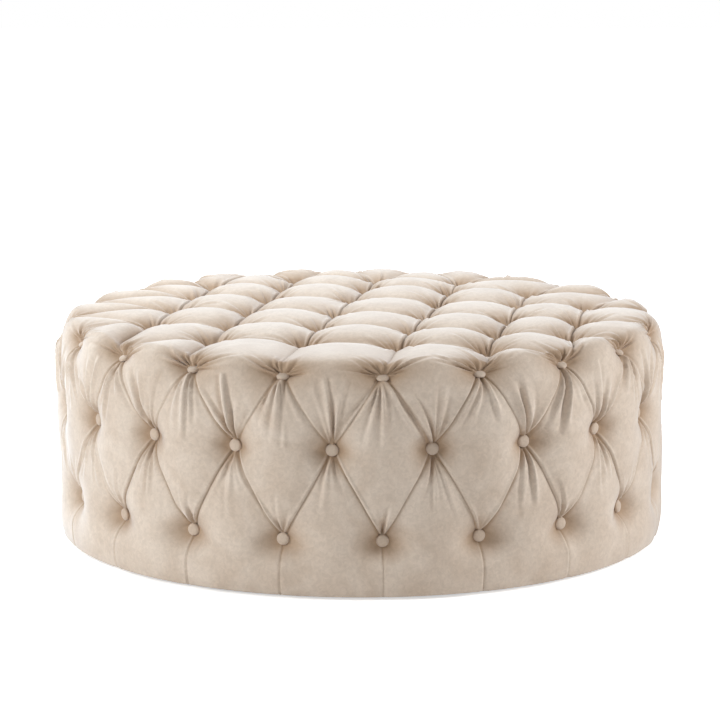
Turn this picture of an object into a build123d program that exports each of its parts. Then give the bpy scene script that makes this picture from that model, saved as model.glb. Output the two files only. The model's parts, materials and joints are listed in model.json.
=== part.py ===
"""A round deep-buttoned velvet footstool on a hidden wooden drum frame.

Millimetres, +Z up. The origin is on the floor under the middle of the drum.
Angles round the drum are in degrees from -Y, the front, towards +X.
"""

from build123d import *
import os
from dataclasses import dataclass
from math import cos, sin, radians, tan

# Driving dimensions of the whole piece
DIAMETER = 1190.0
HEIGHT = 445.0
BUTTONS_ROUND = 20
FIRST_BUTTON_ANGLE = 3.9
GRID_TURN = 10.0

# Where the tufts lie
SIDE_TUFT_DEPTH = 30.0
RIM_TUFT_DEPTH = 33.0
TOP_TUFT_DEPTH = 37.0
LOW_ROW_HEIGHT = 104.0
MID_ROW_HEIGHT = 268.0
RIM_ROW_DROP = 47.0
RIM_TUFT_TILT = 50.0
DOME_RISE = 14.0

# How the puffs swell between the tufts
PLEAT_RISE = 17.0
RIM_PUFF_INSET = 12.0
RIM_PUFF_TILT = 20.0
TOP_EDGE_PUFF_DROP = 5.0
EDGE_PLEAT_INSET = 25.0
EDGE_PUFF_INSET = 13.0
EDGE_CLEARANCE = 5.0
EDGE_STEPS = 4
SHOULDER_SHARE = 0.72
SHOULDER_DROP_SHARE = 0.30
CROWN_SHARE = 0.38

# Covered buttons, with the twine that draws each one in
BUTTON_DIAMETER = 22.0
BUTTON_THICKNESS = 9.0
BUTTON_EDGE = 3.0
BACK_DIAMETER = 16.0
BACK_THICKNESS = 1.2
SEAT_RADIUS = 9.0
TWINE_DIAMETER = 2.0
TWINE_HOLE_DIAMETER = 3.0
KNOT_DIAMETER = 7.0
KNOT_LENGTH = 5.0
WASHER_DIAMETER = 12.0
WASHER_THICKNESS = 2.0

# Layers of the soft filling
SOFT_CLEARANCE = 0.3
PADDING_THICKNESS = 100.0
WALL_BOARD_THICKNESS = 3.0
SIDE_FOAM_THICKNESS = 39.0
SIDE_WADDING_THICKNESS = 8.0
TOP_WADDING_THICKNESS = 8.0
TOP_FOAM_THICKNESS = 75.0

# Timber frame
GLIDE_HEIGHT = 4.0
DUST_COVER_THICKNESS = 1.0
HEM_THICKNESS = 1.5
BASE_THICKNESS = 18.0
DECK_THICKNESS = 12.0
TOP_RING_THICKNESS = 15.0
RING_WIDTH = 100.0
RAIL_WIDTH = 60.0
POST_SIZE = 38.0
POST_INSET = 21.0
CENTRE_POST_SIZE = 50.0
POSTS = BUTTONS_ROUND // 2
WOOD_CLEARANCE = 0.2

# Hem, dust cover, staples, screws and glides
HEM_WIDTH = 95.0
DUST_COVER_INSET = 20.0
STAPLES_ROUND = BUTTONS_ROUND
STAPLE_WIDTH = 10.0
STAPLE_WIRE = 0.9
STAPLE_LEG = 7.0
STAPLE_INSET = 7.0
SCREW_DIAMETER = 4.0
SCREW_HEAD_DIAMETER = 8.0
SCREW_BITE = 26.0
SCREW_CLEARANCE = 0.1
RAIL_SCREW_BITE = 5.0
GLIDE_DIAMETER = 30.0
GLIDE_CHAMFER = 1.0
GLIDE_NAIL_DIAMETER = 3.0
GLIDE_NAIL_BITE = 12.0
GLIDE_INSET = 65.0

# Radii and levels that follow from the sizes above
OUTER_RADIUS = DIAMETER / 2
SIDE_TUFT_RADIUS = OUTER_RADIUS - SIDE_TUFT_DEPTH
RIM_TUFT_RADIUS = OUTER_RADIUS - RIM_TUFT_DEPTH
BUTTON_STEP = 360.0 / BUTTONS_ROUND
RIM_ROW_HEIGHT = HEIGHT - RIM_ROW_DROP
FRAME_RADIUS = OUTER_RADIUS - PADDING_THICKNESS
BOARD_RADIUS = FRAME_RADIUS + WALL_BOARD_THICKNESS
FOAM_RADIUS = BOARD_RADIUS + SIDE_FOAM_THICKNESS
WADDING_RADIUS = FOAM_RADIUS + SIDE_WADDING_THICKNESS
CAVITY_RADIUS = WADDING_RADIUS + SOFT_CLEARANCE
RING_INNER_RADIUS = FRAME_RADIUS - RING_WIDTH
DUST_BOTTOM = GLIDE_HEIGHT
HEM_BOTTOM = DUST_BOTTOM + DUST_COVER_THICKNESS
BASE_BOTTOM = HEM_BOTTOM + HEM_THICKNESS
BASE_TOP = BASE_BOTTOM + BASE_THICKNESS
CAVITY_TOP = RIM_ROW_HEIGHT - RIM_TUFT_DEPTH * cos(radians(RIM_TUFT_TILT)) + TOP_WADDING_THICKNESS
WADDING_TOP = CAVITY_TOP - SOFT_CLEARANCE
FOAM_TOP = WADDING_TOP - TOP_WADDING_THICKNESS
DECK_TOP = FOAM_TOP - TOP_FOAM_THICKNESS
DECK_BOTTOM = DECK_TOP - DECK_THICKNESS
TOP_RING_BOTTOM = DECK_BOTTOM - TOP_RING_THICKNESS
POST_RADIUS = FRAME_RADIUS - POST_INSET - POST_SIZE / 2
HEM_INNER_RADIUS = CAVITY_RADIUS - SOFT_CLEARANCE - HEM_WIDTH
DUST_COVER_RADIUS = FRAME_RADIUS - DUST_COVER_INSET
OVERRUN = 2.0

# The top grid's lines run parallel, through six rim buttons at the front and six at the right.
# Each pair below is a column and a row of that grid, counted from the front left.
GRID_LINES = 6
GRID_FIRST = FIRST_BUTTON_ANGLE + GRID_TURN - GRID_LINES / 2 * BUTTON_STEP
TOP_TUFT_ROWS = {
    0: range(1, 5), 1: range(0, 6), 2: range(0, 6),
    3: range(0, 6), 4: range(0, 5), 5: range(1, 4),
}
EDGE_PUFFS = (
    ("18", "19", "2.0", "1.0"), ("19", "0", "3.0", "2.0"), ("0", "1", "4.0", "3.0"), ("1", "2", "4.0"),
    ("4.0", "2", "5.1", "4.1"), ("2", "3", "5.1"), ("3", "4", "5.2", "5.1"), ("4", "5", "5.3", "5.2"),
    ("5", "6", "5.3"), ("4.3", "5.3", "6", "4.4"), ("4.4", "6", "7"), ("3.4", "4.4", "7", "3.5"),
    ("3.5", "7", "8"), ("3.5", "8", "9"), ("3.5", "9", "2.5"), ("2.5", "9", "10"),
    ("2.5", "10", "1.5"), ("1.5", "10", "11"), ("1.4", "1.5", "11", "0.4"), ("0.4", "11", "12"),
    ("0.4", "12", "13"), ("0.3", "0.4", "13"), ("0.3", "13", "14"), ("0.2", "0.3", "14"),
    ("0.2", "14", "15"), ("0.1", "0.2", "15"), ("0.1", "15", "16"), ("0.1", "16", "17"),
    ("17", "18", "1.0"), ("0.1", "17", "1.0", "1.1"),
)


@dataclass
class Tuft:
    """A place where the cover is drawn in: a button, or the end of a pleat at the bottom edge."""

    centre: Vector
    normal: Vector
    seat: float = SEAT_RADIUS
    on_wall: bool = True


def round_drum(angle, radius, height):
    """The point at an angle from the front, a radius and a height."""
    return Vector(radius * sin(radians(angle)), -radius * cos(radians(angle)), height)


def outwards(angle, tilt=0):
    """The direction out of the drum at an angle, tilted up by some degrees."""
    return round_drum(angle, cos(radians(tilt)), sin(radians(tilt)))


def dome_height(point, depth):
    """The height of the domed top over a point, less a depth."""
    share = Vector(point.X, point.Y, 0).length / OUTER_RADIUS
    return HEIGHT - depth - DOME_RISE * share ** 2


def wall_tufts():
    """The rim, middle and low rows, and the ends of the pleats at the bottom edge."""
    tufts = {}
    for j in range(BUTTONS_ROUND):
        angle = FIRST_BUTTON_ANGLE + j * BUTTON_STEP
        between = angle + BUTTON_STEP / 2
        rim = round_drum(angle, RIM_TUFT_RADIUS, RIM_ROW_HEIGHT)
        edge = round_drum(angle, OUTER_RADIUS - EDGE_PLEAT_INSET, EDGE_CLEARANCE)
        tufts["rim", j] = Tuft(rim, outwards(angle, RIM_TUFT_TILT))
        tufts["mid", j] = Tuft(round_drum(between, SIDE_TUFT_RADIUS, MID_ROW_HEIGHT), outwards(between))
        tufts["low", j] = Tuft(round_drum(angle, SIDE_TUFT_RADIUS, LOW_ROW_HEIGHT), outwards(angle))
        tufts["edge", j] = Tuft(edge, outwards(angle), seat=0)
    return tufts


def grid_point(column, row):
    """The plan place of a crossing of the top grid."""
    across = RIM_TUFT_RADIUS * sin(radians(GRID_FIRST + column * BUTTON_STEP))
    away = RIM_TUFT_RADIUS * sin(radians(GRID_FIRST + row * BUTTON_STEP))
    return Vector(across, away, 0).rotate(Axis.Z, -GRID_TURN)


def top_tufts():
    """The buttons of the top grid that lie well inside the rim."""
    tufts = {}
    for column, rows in TOP_TUFT_ROWS.items():
        for row in rows:
            place = grid_point(column, row)
            place.Z = dome_height(place, TOP_TUFT_DEPTH)
            tufts["top", column, row] = Tuft(place, Vector(0, 0, 1), on_wall=False)
    return tufts


TUFTS = {**wall_tufts(), **top_tufts()}


def mean_direction(vectors):
    """The unit vector along the sum of some vectors."""
    total = Vector(0, 0, 0)
    for vector in vectors:
        total = total + vector
    return total.normalized()


def mean_centre(tufts):
    """The middle of some tufts, measured round the drum when all of them are on its wall."""
    count = len(tufts)
    middle = sum((t.centre for t in tufts), Vector(0, 0, 0)) / count
    if not all(t.on_wall for t in tufts):
        return middle
    flats = [Vector(t.centre.X, t.centre.Y, 0) for t in tufts]
    radius = sum(f.length for f in flats) / count
    around = mean_direction([f.normalized() for f in flats]) * radius
    return Vector(around.X, around.Y, middle.Z)


def seat_point(tuft, other):
    """The point on a tuft's flat seat from which the pleat to another tuft starts."""
    along = other.centre - tuft.centre
    along = along - tuft.normal * along.dot(tuft.normal)
    return tuft.centre + along.normalized() * tuft.seat


def pleat(a, b):
    """The points of the pleat from one tuft to the next, with its raised middle."""
    middle = mean_centre([a, b]) + mean_direction([a.normal, b.normal]) * PLEAT_RISE
    return [seat_point(a, b), middle, seat_point(b, a)]


def bottom_edge(a, b):
    """The points of the bottom edge under one puff, which swells out between two pleats."""
    points = [a.centre]
    start = Vector(a.centre.X, a.centre.Y, 0)
    end = Vector(b.centre.X, b.centre.Y, 0)
    swell = EDGE_PLEAT_INSET - EDGE_PUFF_INSET
    for k in range(1, EDGE_STEPS):
        share = k / EDGE_STEPS
        flat = (start * (1 - share) + end * share).normalized()
        radius = OUTER_RADIUS - EDGE_PLEAT_INSET + swell * sin(radians(180 * share))
        points.append(Vector(flat.X * radius, flat.Y * radius, EDGE_CLEARANCE))
    return points + [b.centre]


def puff_outline(keys):
    """The closed outline of one puff, from tuft to tuft along its pleats."""
    points = []
    for a, b in zip(keys, keys[1:] + keys[:1]):
        both_at_edge = a[0] == "edge" and b[0] == "edge"
        run = bottom_edge(TUFTS[a], TUFTS[b]) if both_at_edge else pleat(TUFTS[a], TUFTS[b])
        points += [p for p in run if not points or (p - points[-1]).length > SOFT_CLEARANCE]
    if (points[0] - points[-1]).length < SOFT_CLEARANCE:
        points.pop()
    return points


def puff(keys, crown, normal):
    """The faces of one puff: a loft through its outline, a shoulder and its crown, and a crown face."""
    outline = puff_outline(keys)
    sections = []
    for spread, drop in ((1, 1), (SHOULDER_SHARE, SHOULDER_DROP_SHARE), (CROWN_SHARE, 0)):
        points = []
        for point in outline:
            offset = point - crown
            fall = normal * offset.dot(normal)
            points.append(crown + (offset - fall) * spread + fall * drop)
        sections.append(Wire.make_polygon(points, close=True))
    return Shell.make_loft(sections).faces() + [Face(sections[-1])]


def wall_crown(keys, inset=0, tilt=0):
    """The crown of a puff on the wall, and the way it faces."""
    middle = mean_centre([TUFTS[k] for k in keys])
    flat = Vector(middle.X, middle.Y, 0).normalized()
    crown = flat * (OUTER_RADIUS - inset) + Vector(0, 0, middle.Z)
    return crown, flat * cos(radians(tilt)) + Vector(0, 0, sin(radians(tilt)))


def top_crown(keys):
    """The crown of a puff on the top, and the way it faces: those at the rim sit lower and lean out."""
    middle = mean_centre([TUFTS[k] for k in keys])
    drop = TOP_EDGE_PUFF_DROP if any(k[0] == "rim" for k in keys) else 0
    crown = Vector(middle.X, middle.Y, dome_height(middle, drop))
    upright = [Vector(0, 0, 1)] * len(keys)
    return crown, mean_direction([TUFTS[k].normal for k in keys] + upright)


def wall_puffs():
    """The puffs of the wall: three-cornered under the rim, diamonds, and long ones down to the edge."""
    faces = []
    for j in range(BUTTONS_ROUND):
        after = (j + 1) % BUTTONS_ROUND
        before = (j - 1) % BUTTONS_ROUND
        under_rim = [("rim", j), ("mid", j), ("rim", after)]
        diamond = [("rim", j), ("mid", before), ("low", j), ("mid", j)]
        skirt = [("mid", j), ("low", j), ("edge", j), ("edge", after), ("low", after)]
        faces += puff(under_rim, *wall_crown(under_rim, RIM_PUFF_INSET, RIM_PUFF_TILT))
        faces += puff(diamond, *wall_crown(diamond))
        faces += puff(skirt, *wall_crown(skirt))
    return faces


def tuft_key(name):
    """The tuft that a short name means: a rim button's number, or a column and a row of the top grid."""
    if "." in name:
        column, row = name.split(".")
        return "top", int(column), int(row)
    return "rim", int(name)


def top_puffs():
    """The square puffs of the top grid, and the odd ones that join the grid to the rim."""
    cells = [[tuft_key(name) for name in names] for names in EDGE_PUFFS]
    for column in range(GRID_LINES - 1):
        for row in range(GRID_LINES - 1):
            corners = ((column, row), (column + 1, row), (column + 1, row + 1), (column, row + 1))
            keys = [("top", *corner) for corner in corners]
            if all(k in TUFTS for k in keys):
                cells.append(keys)
    faces = []
    for keys in cells:
        faces += puff(keys, *top_crown(keys))
    return faces, cells


def wall_neighbours():
    """For each tuft of the wall, the tufts that a pleat joins it to on the wall."""
    near = {key: set() for key in TUFTS}
    for j in range(BUTTONS_ROUND):
        after = (j + 1) % BUTTONS_ROUND
        pairs = (
            (("rim", j), ("rim", after)), (("rim", j), ("mid", j)), (("rim", after), ("mid", j)),
            (("mid", j), ("low", j)), (("mid", j), ("low", after)), (("low", j), ("edge", j)),
        )
        for a, b in pairs:
            near[a].add(b)
            near[b].add(a)
    return near


def seats(cells):
    """The small flat face under each button, cornered where its pleats start."""
    near = wall_neighbours()
    for keys in cells:
        for a, b in zip(keys, keys[1:] + keys[:1]):
            near[a].add(b)
            near[b].add(a)
    faces = []
    for key, others in near.items():
        tuft = TUFTS[key]
        if not tuft.seat:
            continue
        plane = Plane(origin=tuft.centre, z_dir=tuft.normal)
        points = [seat_point(tuft, TUFTS[k]) for k in others]
        points.sort(key=lambda p: plane.to_local_coords(p).get_signed_angle(Vector(1, 0, 0)))
        faces.append(Face(Wire.make_polygon(points, close=True)))
    return faces


def bottom_face():
    """The flat face that closes the cover at its bottom edge."""
    points = []
    for j in range(BUTTONS_ROUND):
        points += bottom_edge(TUFTS["edge", j], TUFTS["edge", (j + 1) % BUTTONS_ROUND])[:-1]
    return Face(Wire.make_polygon(points, close=True))


def button_tufts(*rows):
    """The tufts that carry a button, in the rows named."""
    return [t for key, t in TUFTS.items() if key[0] in rows]


def along_tuft(tuft, diameter, start, length):
    """A rod on a tuft's axis, which starts a distance outside its seat and runs inwards."""
    plane = Plane(origin=tuft.centre + tuft.normal * start, z_dir=-tuft.normal)
    return Solid.make_cylinder(diameter / 2, length, plane)


def twine_length(tuft):
    """The length of twine from a button's seat to the far face of the wood that it pulls against."""
    if tuft.normal.Z == 0:
        return SIDE_TUFT_RADIUS - FRAME_RADIUS
    if not tuft.on_wall:
        flat = Vector(tuft.centre.X, tuft.centre.Y, 0).length
        over_ring = flat > RING_INNER_RADIUS - WASHER_DIAMETER
        return tuft.centre.Z - (TOP_RING_BOTTOM if over_ring else DECK_BOTTOM)
    return (tuft.centre.Z - TOP_RING_BOTTOM) / tuft.normal.Z


def knot_gap(tuft):
    """How far past the wood's face a knot starts: past the washer, or clear of a slanted face."""
    slanted = tuft.on_wall and tuft.normal.Z > 0
    if slanted:
        return KNOT_DIAMETER / 2 * tan(radians(90 - RIM_TUFT_TILT)) + SOFT_CLEARANCE
    return SOFT_CLEARANCE + WASHER_THICKNESS


def twine_holes():
    """The holes that all the twines pass through."""
    holes = []
    for tuft in button_tufts("rim", "mid", "low", "top"):
        reach = OVERRUN + twine_length(tuft) + OVERRUN + KNOT_DIAMETER
        holes.append(along_tuft(tuft, TWINE_HOLE_DIAMETER, OVERRUN, reach))
    return holes


def button_pockets():
    """The pocket that each button presses into the puffs around it."""
    pocket = BUTTON_DIAMETER + 2 * SOFT_CLEARANCE
    return [along_tuft(tuft, pocket, SIDE_TUFT_DEPTH, SIDE_TUFT_DEPTH + SOFT_CLEARANCE)
            for tuft in button_tufts("rim", "mid", "low", "top")]


HOLES = twine_holes()


def tube(outer, inner, bottom, top):
    """An upright ring between two levels."""
    ring = Pos(0, 0, (bottom + top) / 2) * Cylinder(outer, top - bottom)
    if inner:
        ring -= Pos(0, 0, (bottom + top) / 2) * Cylinder(inner, top - bottom + OVERRUN)
    return ring


def tufted_cover():
    """The velvet cover with the fibre that its tufting holds, hollow over the padded drum."""
    top_faces, cells = top_puffs()
    skin = Shell(wall_puffs() + top_faces + seats(cells) + [bottom_face()])
    body = Solid(skin)
    cavity = tube(CAVITY_RADIUS, 0, EDGE_CLEARANCE - OVERRUN, CAVITY_TOP)
    return body - cavity - (HOLES + button_pockets())


def covered_buttons(row):
    """The domed covered buttons of one row, each with a recess for its back."""
    buttons = []
    radius = BUTTON_DIAMETER / 2
    rise = BUTTON_THICKNESS - BUTTON_EDGE
    dome_radius = (radius ** 2 + rise ** 2) / (2 * rise)
    dome = Pos(0, 0, BUTTON_THICKNESS - dome_radius) * Sphere(dome_radius)
    disc = Pos(0, 0, BUTTON_THICKNESS / 2) * Cylinder(radius, BUTTON_THICKNESS)
    recess = Cylinder(BACK_DIAMETER / 2, 2 * BACK_THICKNESS)
    blank = (disc & dome) - recess
    for tuft in button_tufts(row):
        seat = Plane(origin=tuft.centre, z_dir=tuft.normal)
        buttons.append(seat.location * blank)
    return Compound(buttons)


def button_backs():
    """The thin metal back in each covered button."""
    return Compound([along_tuft(t, BACK_DIAMETER - WOOD_CLEARANCE, BACK_THICKNESS, BACK_THICKNESS)
                     for t in button_tufts("rim", "mid", "low", "top")])


def twines(*rows):
    """The twine of each button in some rows, with the knot that ends it."""
    strands = []
    for tuft in button_tufts(*rows):
        length = twine_length(tuft) + knot_gap(tuft)
        strand = along_tuft(tuft, TWINE_DIAMETER, 0, length + KNOT_LENGTH)
        strands.append(strand.fuse(along_tuft(tuft, KNOT_DIAMETER, -length, KNOT_LENGTH)))
    return Compound(strands)


def twine_washers():
    """The fibre washer inside the frame on each upright or level twine."""
    washers = []
    for tuft in button_tufts("mid", "low", "top"):
        start = -(twine_length(tuft) + SOFT_CLEARANCE)
        disc = along_tuft(tuft, WASHER_DIAMETER, start, WASHER_THICKNESS)
        bore = along_tuft(tuft, TWINE_HOLE_DIAMETER, start + OVERRUN, WASHER_THICKNESS + 2 * OVERRUN)
        washers.append(disc.cut(bore))
    return Compound(washers)


def post_angles():
    """The angles of the wall posts, which stand between two columns of buttons."""
    return [FIRST_BUTTON_ANGLE - BUTTON_STEP / 4 + k * 360 / POSTS for k in range(POSTS)]


def screw(head_top, length):
    """A countersunk screw that points down from the middle of its head."""
    head = SCREW_HEAD_DIAMETER / 2
    shank = SCREW_DIAMETER / 2
    cone = Pos(0, 0, head_top - (head - shank) / 2) * Cone(shank, head, head - shank)
    rod = Pos(0, 0, head_top - length / 2) * Cylinder(shank, length)
    return cone + rod


def screw_cut(head_top, length):
    """The countersunk hole for a screw, wider all round by the fit."""
    head = SCREW_HEAD_DIAMETER / 2 + SCREW_CLEARANCE
    shank = SCREW_DIAMETER / 2 + SCREW_CLEARANCE
    cone = Pos(0, 0, head_top - (head - shank) / 2) * Cone(shank, head, head - shank)
    rod = Pos(0, 0, head_top - (length + SCREW_CLEARANCE) / 2) * Cylinder(shank, length + SCREW_CLEARANCE)
    return cone + rod


def round_posts(shape):
    """Copies of a shape on the axes of the wall posts."""
    return [Pos(*round_drum(a, POST_RADIUS, 0)) * shape for a in post_angles()]


def from_below(shape, level):
    """A shape that pointed down, turned to point up from a level."""
    return Pos(0, 0, level) * Rot(180, 0, 0) * shape


def rail_line():
    """The place between two lines of top buttons where the rails cross, in the grid's own frame."""
    lines = [RIM_TUFT_RADIUS * sin(radians(GRID_FIRST + m * BUTTON_STEP)) for m in (2, 3)]
    return sum(lines) / len(lines)


def rail_screw_places():
    """Four places on each pair of rails, halfway from the crossing to the ring."""
    line = rail_line()
    half = RING_INNER_RADIUS / 2
    spots = ((line, line + half), (line, line - half), (line + half, line), (line - half, line))
    return [Vector(x, y, 0).rotate(Axis.Z, -GRID_TURN) for x, y in spots]


def deck_screw_shapes(make):
    """The deck's screws, or their holes, through the deck and ring into the posts."""
    length = DECK_THICKNESS + TOP_RING_THICKNESS + SCREW_BITE
    return round_posts(make(DECK_TOP, length))


def base_screw_shapes(make):
    """The base's screws, or their holes, up through the base ring into the posts."""
    return round_posts(from_below(make(0, BASE_THICKNESS + SCREW_BITE), BASE_BOTTOM))


def rail_screw_shapes(make):
    """The screws, or their holes, that hold the deck down to its rails."""
    length = DECK_THICKNESS + RAIL_SCREW_BITE
    return [Pos(p.X, p.Y, 0) * make(DECK_TOP, length) for p in rail_screw_places()]


def staple_ring(radius, top, leg, fit=0):
    """Staples round the base, crown down, with an allowance all round for their slots."""
    staples = []
    wire = STAPLE_WIRE + 2 * fit
    for k in range(STAPLES_ROUND):
        angle = FIRST_BUTTON_ANGLE + BUTTON_STEP / 4 + k * 360 / STAPLES_ROUND
        crown = Pos(0, 0, -STAPLE_WIRE / 2) * Box(STAPLE_WIDTH + 2 * fit, wire, wire)
        side = (STAPLE_WIDTH - STAPLE_WIRE) / 2
        legs = [Pos(x, 0, (leg + fit) / 2) * Box(wire, wire, leg + fit) for x in (-side, side)]
        place = Pos(*round_drum(angle, radius, top)) * Rot(0, 0, angle)
        staples.append(place * (crown + legs))
    return staples


def hem_staple_shapes(fit=0):
    """The staples that hold the turned hem under the base."""
    return staple_ring(FRAME_RADIUS - STAPLE_INSET, HEM_BOTTOM, HEM_THICKNESS + STAPLE_LEG, fit)


def dust_staple_shapes(fit=0):
    """The staples that hold the dust cover over the hem."""
    leg = DUST_COVER_THICKNESS + HEM_THICKNESS + STAPLE_LEG
    return staple_ring(DUST_COVER_RADIUS - STAPLE_INSET, DUST_BOTTOM, leg, fit)


def glide_places():
    """The places of the glides, halfway between the posts."""
    radius = FRAME_RADIUS - GLIDE_INSET
    return [round_drum(a + 180 / POSTS, radius, 0) for a in post_angles()]


def glides():
    """Round plastic glides, each with the nail that holds it to the base."""
    nail_bottom = GLIDE_HEIGHT / 2
    nail_top = BASE_BOTTOM + GLIDE_NAIL_BITE
    pad = Pos(0, 0, GLIDE_HEIGHT / 2) * Cylinder(GLIDE_DIAMETER / 2, GLIDE_HEIGHT)
    pad = chamfer(pad.edges().group_by(Axis.Z)[0], GLIDE_CHAMFER)
    nail = Cylinder(GLIDE_NAIL_DIAMETER / 2, nail_top - nail_bottom)
    glide = pad + Pos(0, 0, (nail_bottom + nail_top) / 2) * nail
    return Compound([Pos(p.X, p.Y, 0) * glide for p in glide_places()])


def nail_holes():
    """The holes for the glides' nails."""
    depth = BASE_BOTTOM + GLIDE_NAIL_BITE + SCREW_CLEARANCE
    hole = Pos(0, 0, depth / 2) * Cylinder(GLIDE_NAIL_DIAMETER / 2 + SCREW_CLEARANCE, depth)
    return [Pos(p.X, p.Y, 0) * hole for p in glide_places()]


def rail(bottom, top, across):
    """One rail inside a ring, along the grid or across it, halved where the two cross."""
    level = (bottom + top) / 2
    depth = top - bottom
    reach = 2 * RING_INNER_RADIUS
    line = rail_line()
    if across:
        bar = Pos(0, line, level) * Box(reach, RAIL_WIDTH, depth)
        lap = Box(RAIL_WIDTH + WOOD_CLEARANCE, RAIL_WIDTH + OVERRUN, depth / 2)
        lap = Pos(line, line, level - depth / 4) * lap
    else:
        bar = Pos(line, 0, level) * Box(RAIL_WIDTH, reach, depth)
        lap = Box(RAIL_WIDTH + OVERRUN, RAIL_WIDTH + WOOD_CLEARANCE, depth / 2)
        lap = Pos(line, line, level + depth / 4) * lap
    bar = bar - lap
    round_end = Pos(0, 0, level) * Cylinder(RING_INNER_RADIUS - WOOD_CLEARANCE, depth + OVERRUN)
    return Rot(0, 0, -GRID_TURN) * (bar & round_end)


def wall_posts():
    """The upright posts between the two rings."""
    height = TOP_RING_BOTTOM - BASE_TOP
    posts = []
    for angle in post_angles():
        middle = round_drum(angle, POST_RADIUS, (BASE_TOP + TOP_RING_BOTTOM) / 2)
        posts.append(Pos(*middle) * Rot(0, 0, angle) * Box(POST_SIZE, POST_SIZE, height))
    cutters = deck_screw_shapes(screw_cut) + base_screw_shapes(screw_cut)
    return Compound([post.solid() - cutters for post in posts])


def centre_post():
    """The post under the crossing of the rails."""
    line = rail_line()
    level = (BASE_TOP + TOP_RING_BOTTOM) / 2
    height = TOP_RING_BOTTOM - BASE_TOP
    return Rot(0, 0, -GRID_TURN) * Pos(line, line, level) * Box(CENTRE_POST_SIZE, CENTRE_POST_SIZE, height)


def deck_panel():
    """The plywood deck that carries the top foam."""
    cutters = HOLES + deck_screw_shapes(screw_cut) + rail_screw_shapes(screw_cut)
    return tube(FRAME_RADIUS, 0, DECK_BOTTOM, DECK_TOP) - cutters


def top_ring():
    """The plywood ring under the deck's edge."""
    ring = tube(FRAME_RADIUS, RING_INNER_RADIUS, TOP_RING_BOTTOM, DECK_BOTTOM)
    return ring - (HOLES + deck_screw_shapes(screw_cut))


def base_ring():
    """The plywood ring that everything stands on."""
    slots = hem_staple_shapes(SCREW_CLEARANCE) + dust_staple_shapes(SCREW_CLEARANCE)
    ring = tube(FRAME_RADIUS, RING_INNER_RADIUS, BASE_BOTTOM, BASE_TOP)
    return ring - (base_screw_shapes(screw_cut) + nail_holes() + slots)


def turned_hem():
    """The edge of the velvet, turned in under the base and stapled."""
    slots = hem_staple_shapes(SCREW_CLEARANCE) + dust_staple_shapes(SCREW_CLEARANCE)
    ring = tube(CAVITY_RADIUS - SOFT_CLEARANCE, HEM_INNER_RADIUS, HEM_BOTTOM, BASE_BOTTOM)
    return ring - (slots + nail_holes())


def dust_cover():
    """The thin cloth that closes the bottom."""
    sheet = tube(DUST_COVER_RADIUS, 0, DUST_BOTTOM, HEM_BOTTOM)
    return sheet - (nail_holes() + dust_staple_shapes(SCREW_CLEARANCE))


def deck_rail(across):
    """One of the two rails under the deck."""
    return rail(TOP_RING_BOTTOM, DECK_BOTTOM, across) - rail_screw_shapes(screw_cut)


NODES = {
    "tufted_cover": tufted_cover,
    "low_row_buttons": lambda: covered_buttons("low"),
    "mid_row_buttons": lambda: covered_buttons("mid"),
    "rim_buttons": lambda: covered_buttons("rim"),
    "top_buttons": lambda: covered_buttons("top"),
    "button_backs": button_backs,
    "side_twines": lambda: twines("mid", "low"),
    "rim_twines": lambda: twines("rim"),
    "top_twines": lambda: twines("top"),
    "twine_washers": twine_washers,
    "top_wadding": lambda: tube(WADDING_RADIUS, 0, FOAM_TOP, WADDING_TOP) - HOLES,
    "side_wadding": lambda: tube(WADDING_RADIUS, FOAM_RADIUS, BASE_BOTTOM, FOAM_TOP) - HOLES,
    "top_foam_pad": lambda: tube(FOAM_RADIUS, 0, DECK_TOP, FOAM_TOP) - HOLES,
    "side_foam_wrap": lambda: tube(FOAM_RADIUS, BOARD_RADIUS, BASE_BOTTOM, DECK_TOP) - HOLES,
    "deck_panel": deck_panel,
    "top_ring": top_ring,
    "deck_rail_long": lambda: deck_rail(False),
    "deck_rail_cross": lambda: deck_rail(True),
    "centre_post": centre_post,
    "wall_posts": wall_posts,
    "wall_board": lambda: tube(BOARD_RADIUS, FRAME_RADIUS, BASE_BOTTOM, DECK_TOP) - HOLES,
    "base_ring": base_ring,
    "base_rail_long": lambda: rail(BASE_BOTTOM, BASE_TOP, False),
    "base_rail_cross": lambda: rail(BASE_BOTTOM, BASE_TOP, True),
    "deck_screws": lambda: Compound(deck_screw_shapes(screw)),
    "base_screws": lambda: Compound(base_screw_shapes(screw)),
    "rail_screws": lambda: Compound(rail_screw_shapes(screw)),
    "turned_hem": turned_hem,
    "dust_cover": dust_cover,
    "hem_staples": lambda: Compound(hem_staple_shapes()),
    "dust_cover_staples": lambda: Compound(dust_staple_shapes()),
    "glides": glides,
}

os.makedirs("parts", exist_ok=True)
for name, build in NODES.items():
    export_step(build(), f"parts/{name}.step")
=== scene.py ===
"""A round deep-buttoned velvet footstool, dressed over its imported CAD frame.

Metres, +Z up, with the origin on the floor under the middle of the drum. Angles round the
drum run from -Y, the front, towards +X.
"""

import json
import logging
import math
import random
from dataclasses import dataclass, field
from enum import Enum
from typing import ClassVar, Dict, List, Optional, Tuple, Union

import bmesh
import bpy
import numpy as np
from mathutils import Matrix, Vector
from mathutils.bvhtree import BVHTree
from mathutils.geometry import delaunay_2d_cdt

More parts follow.
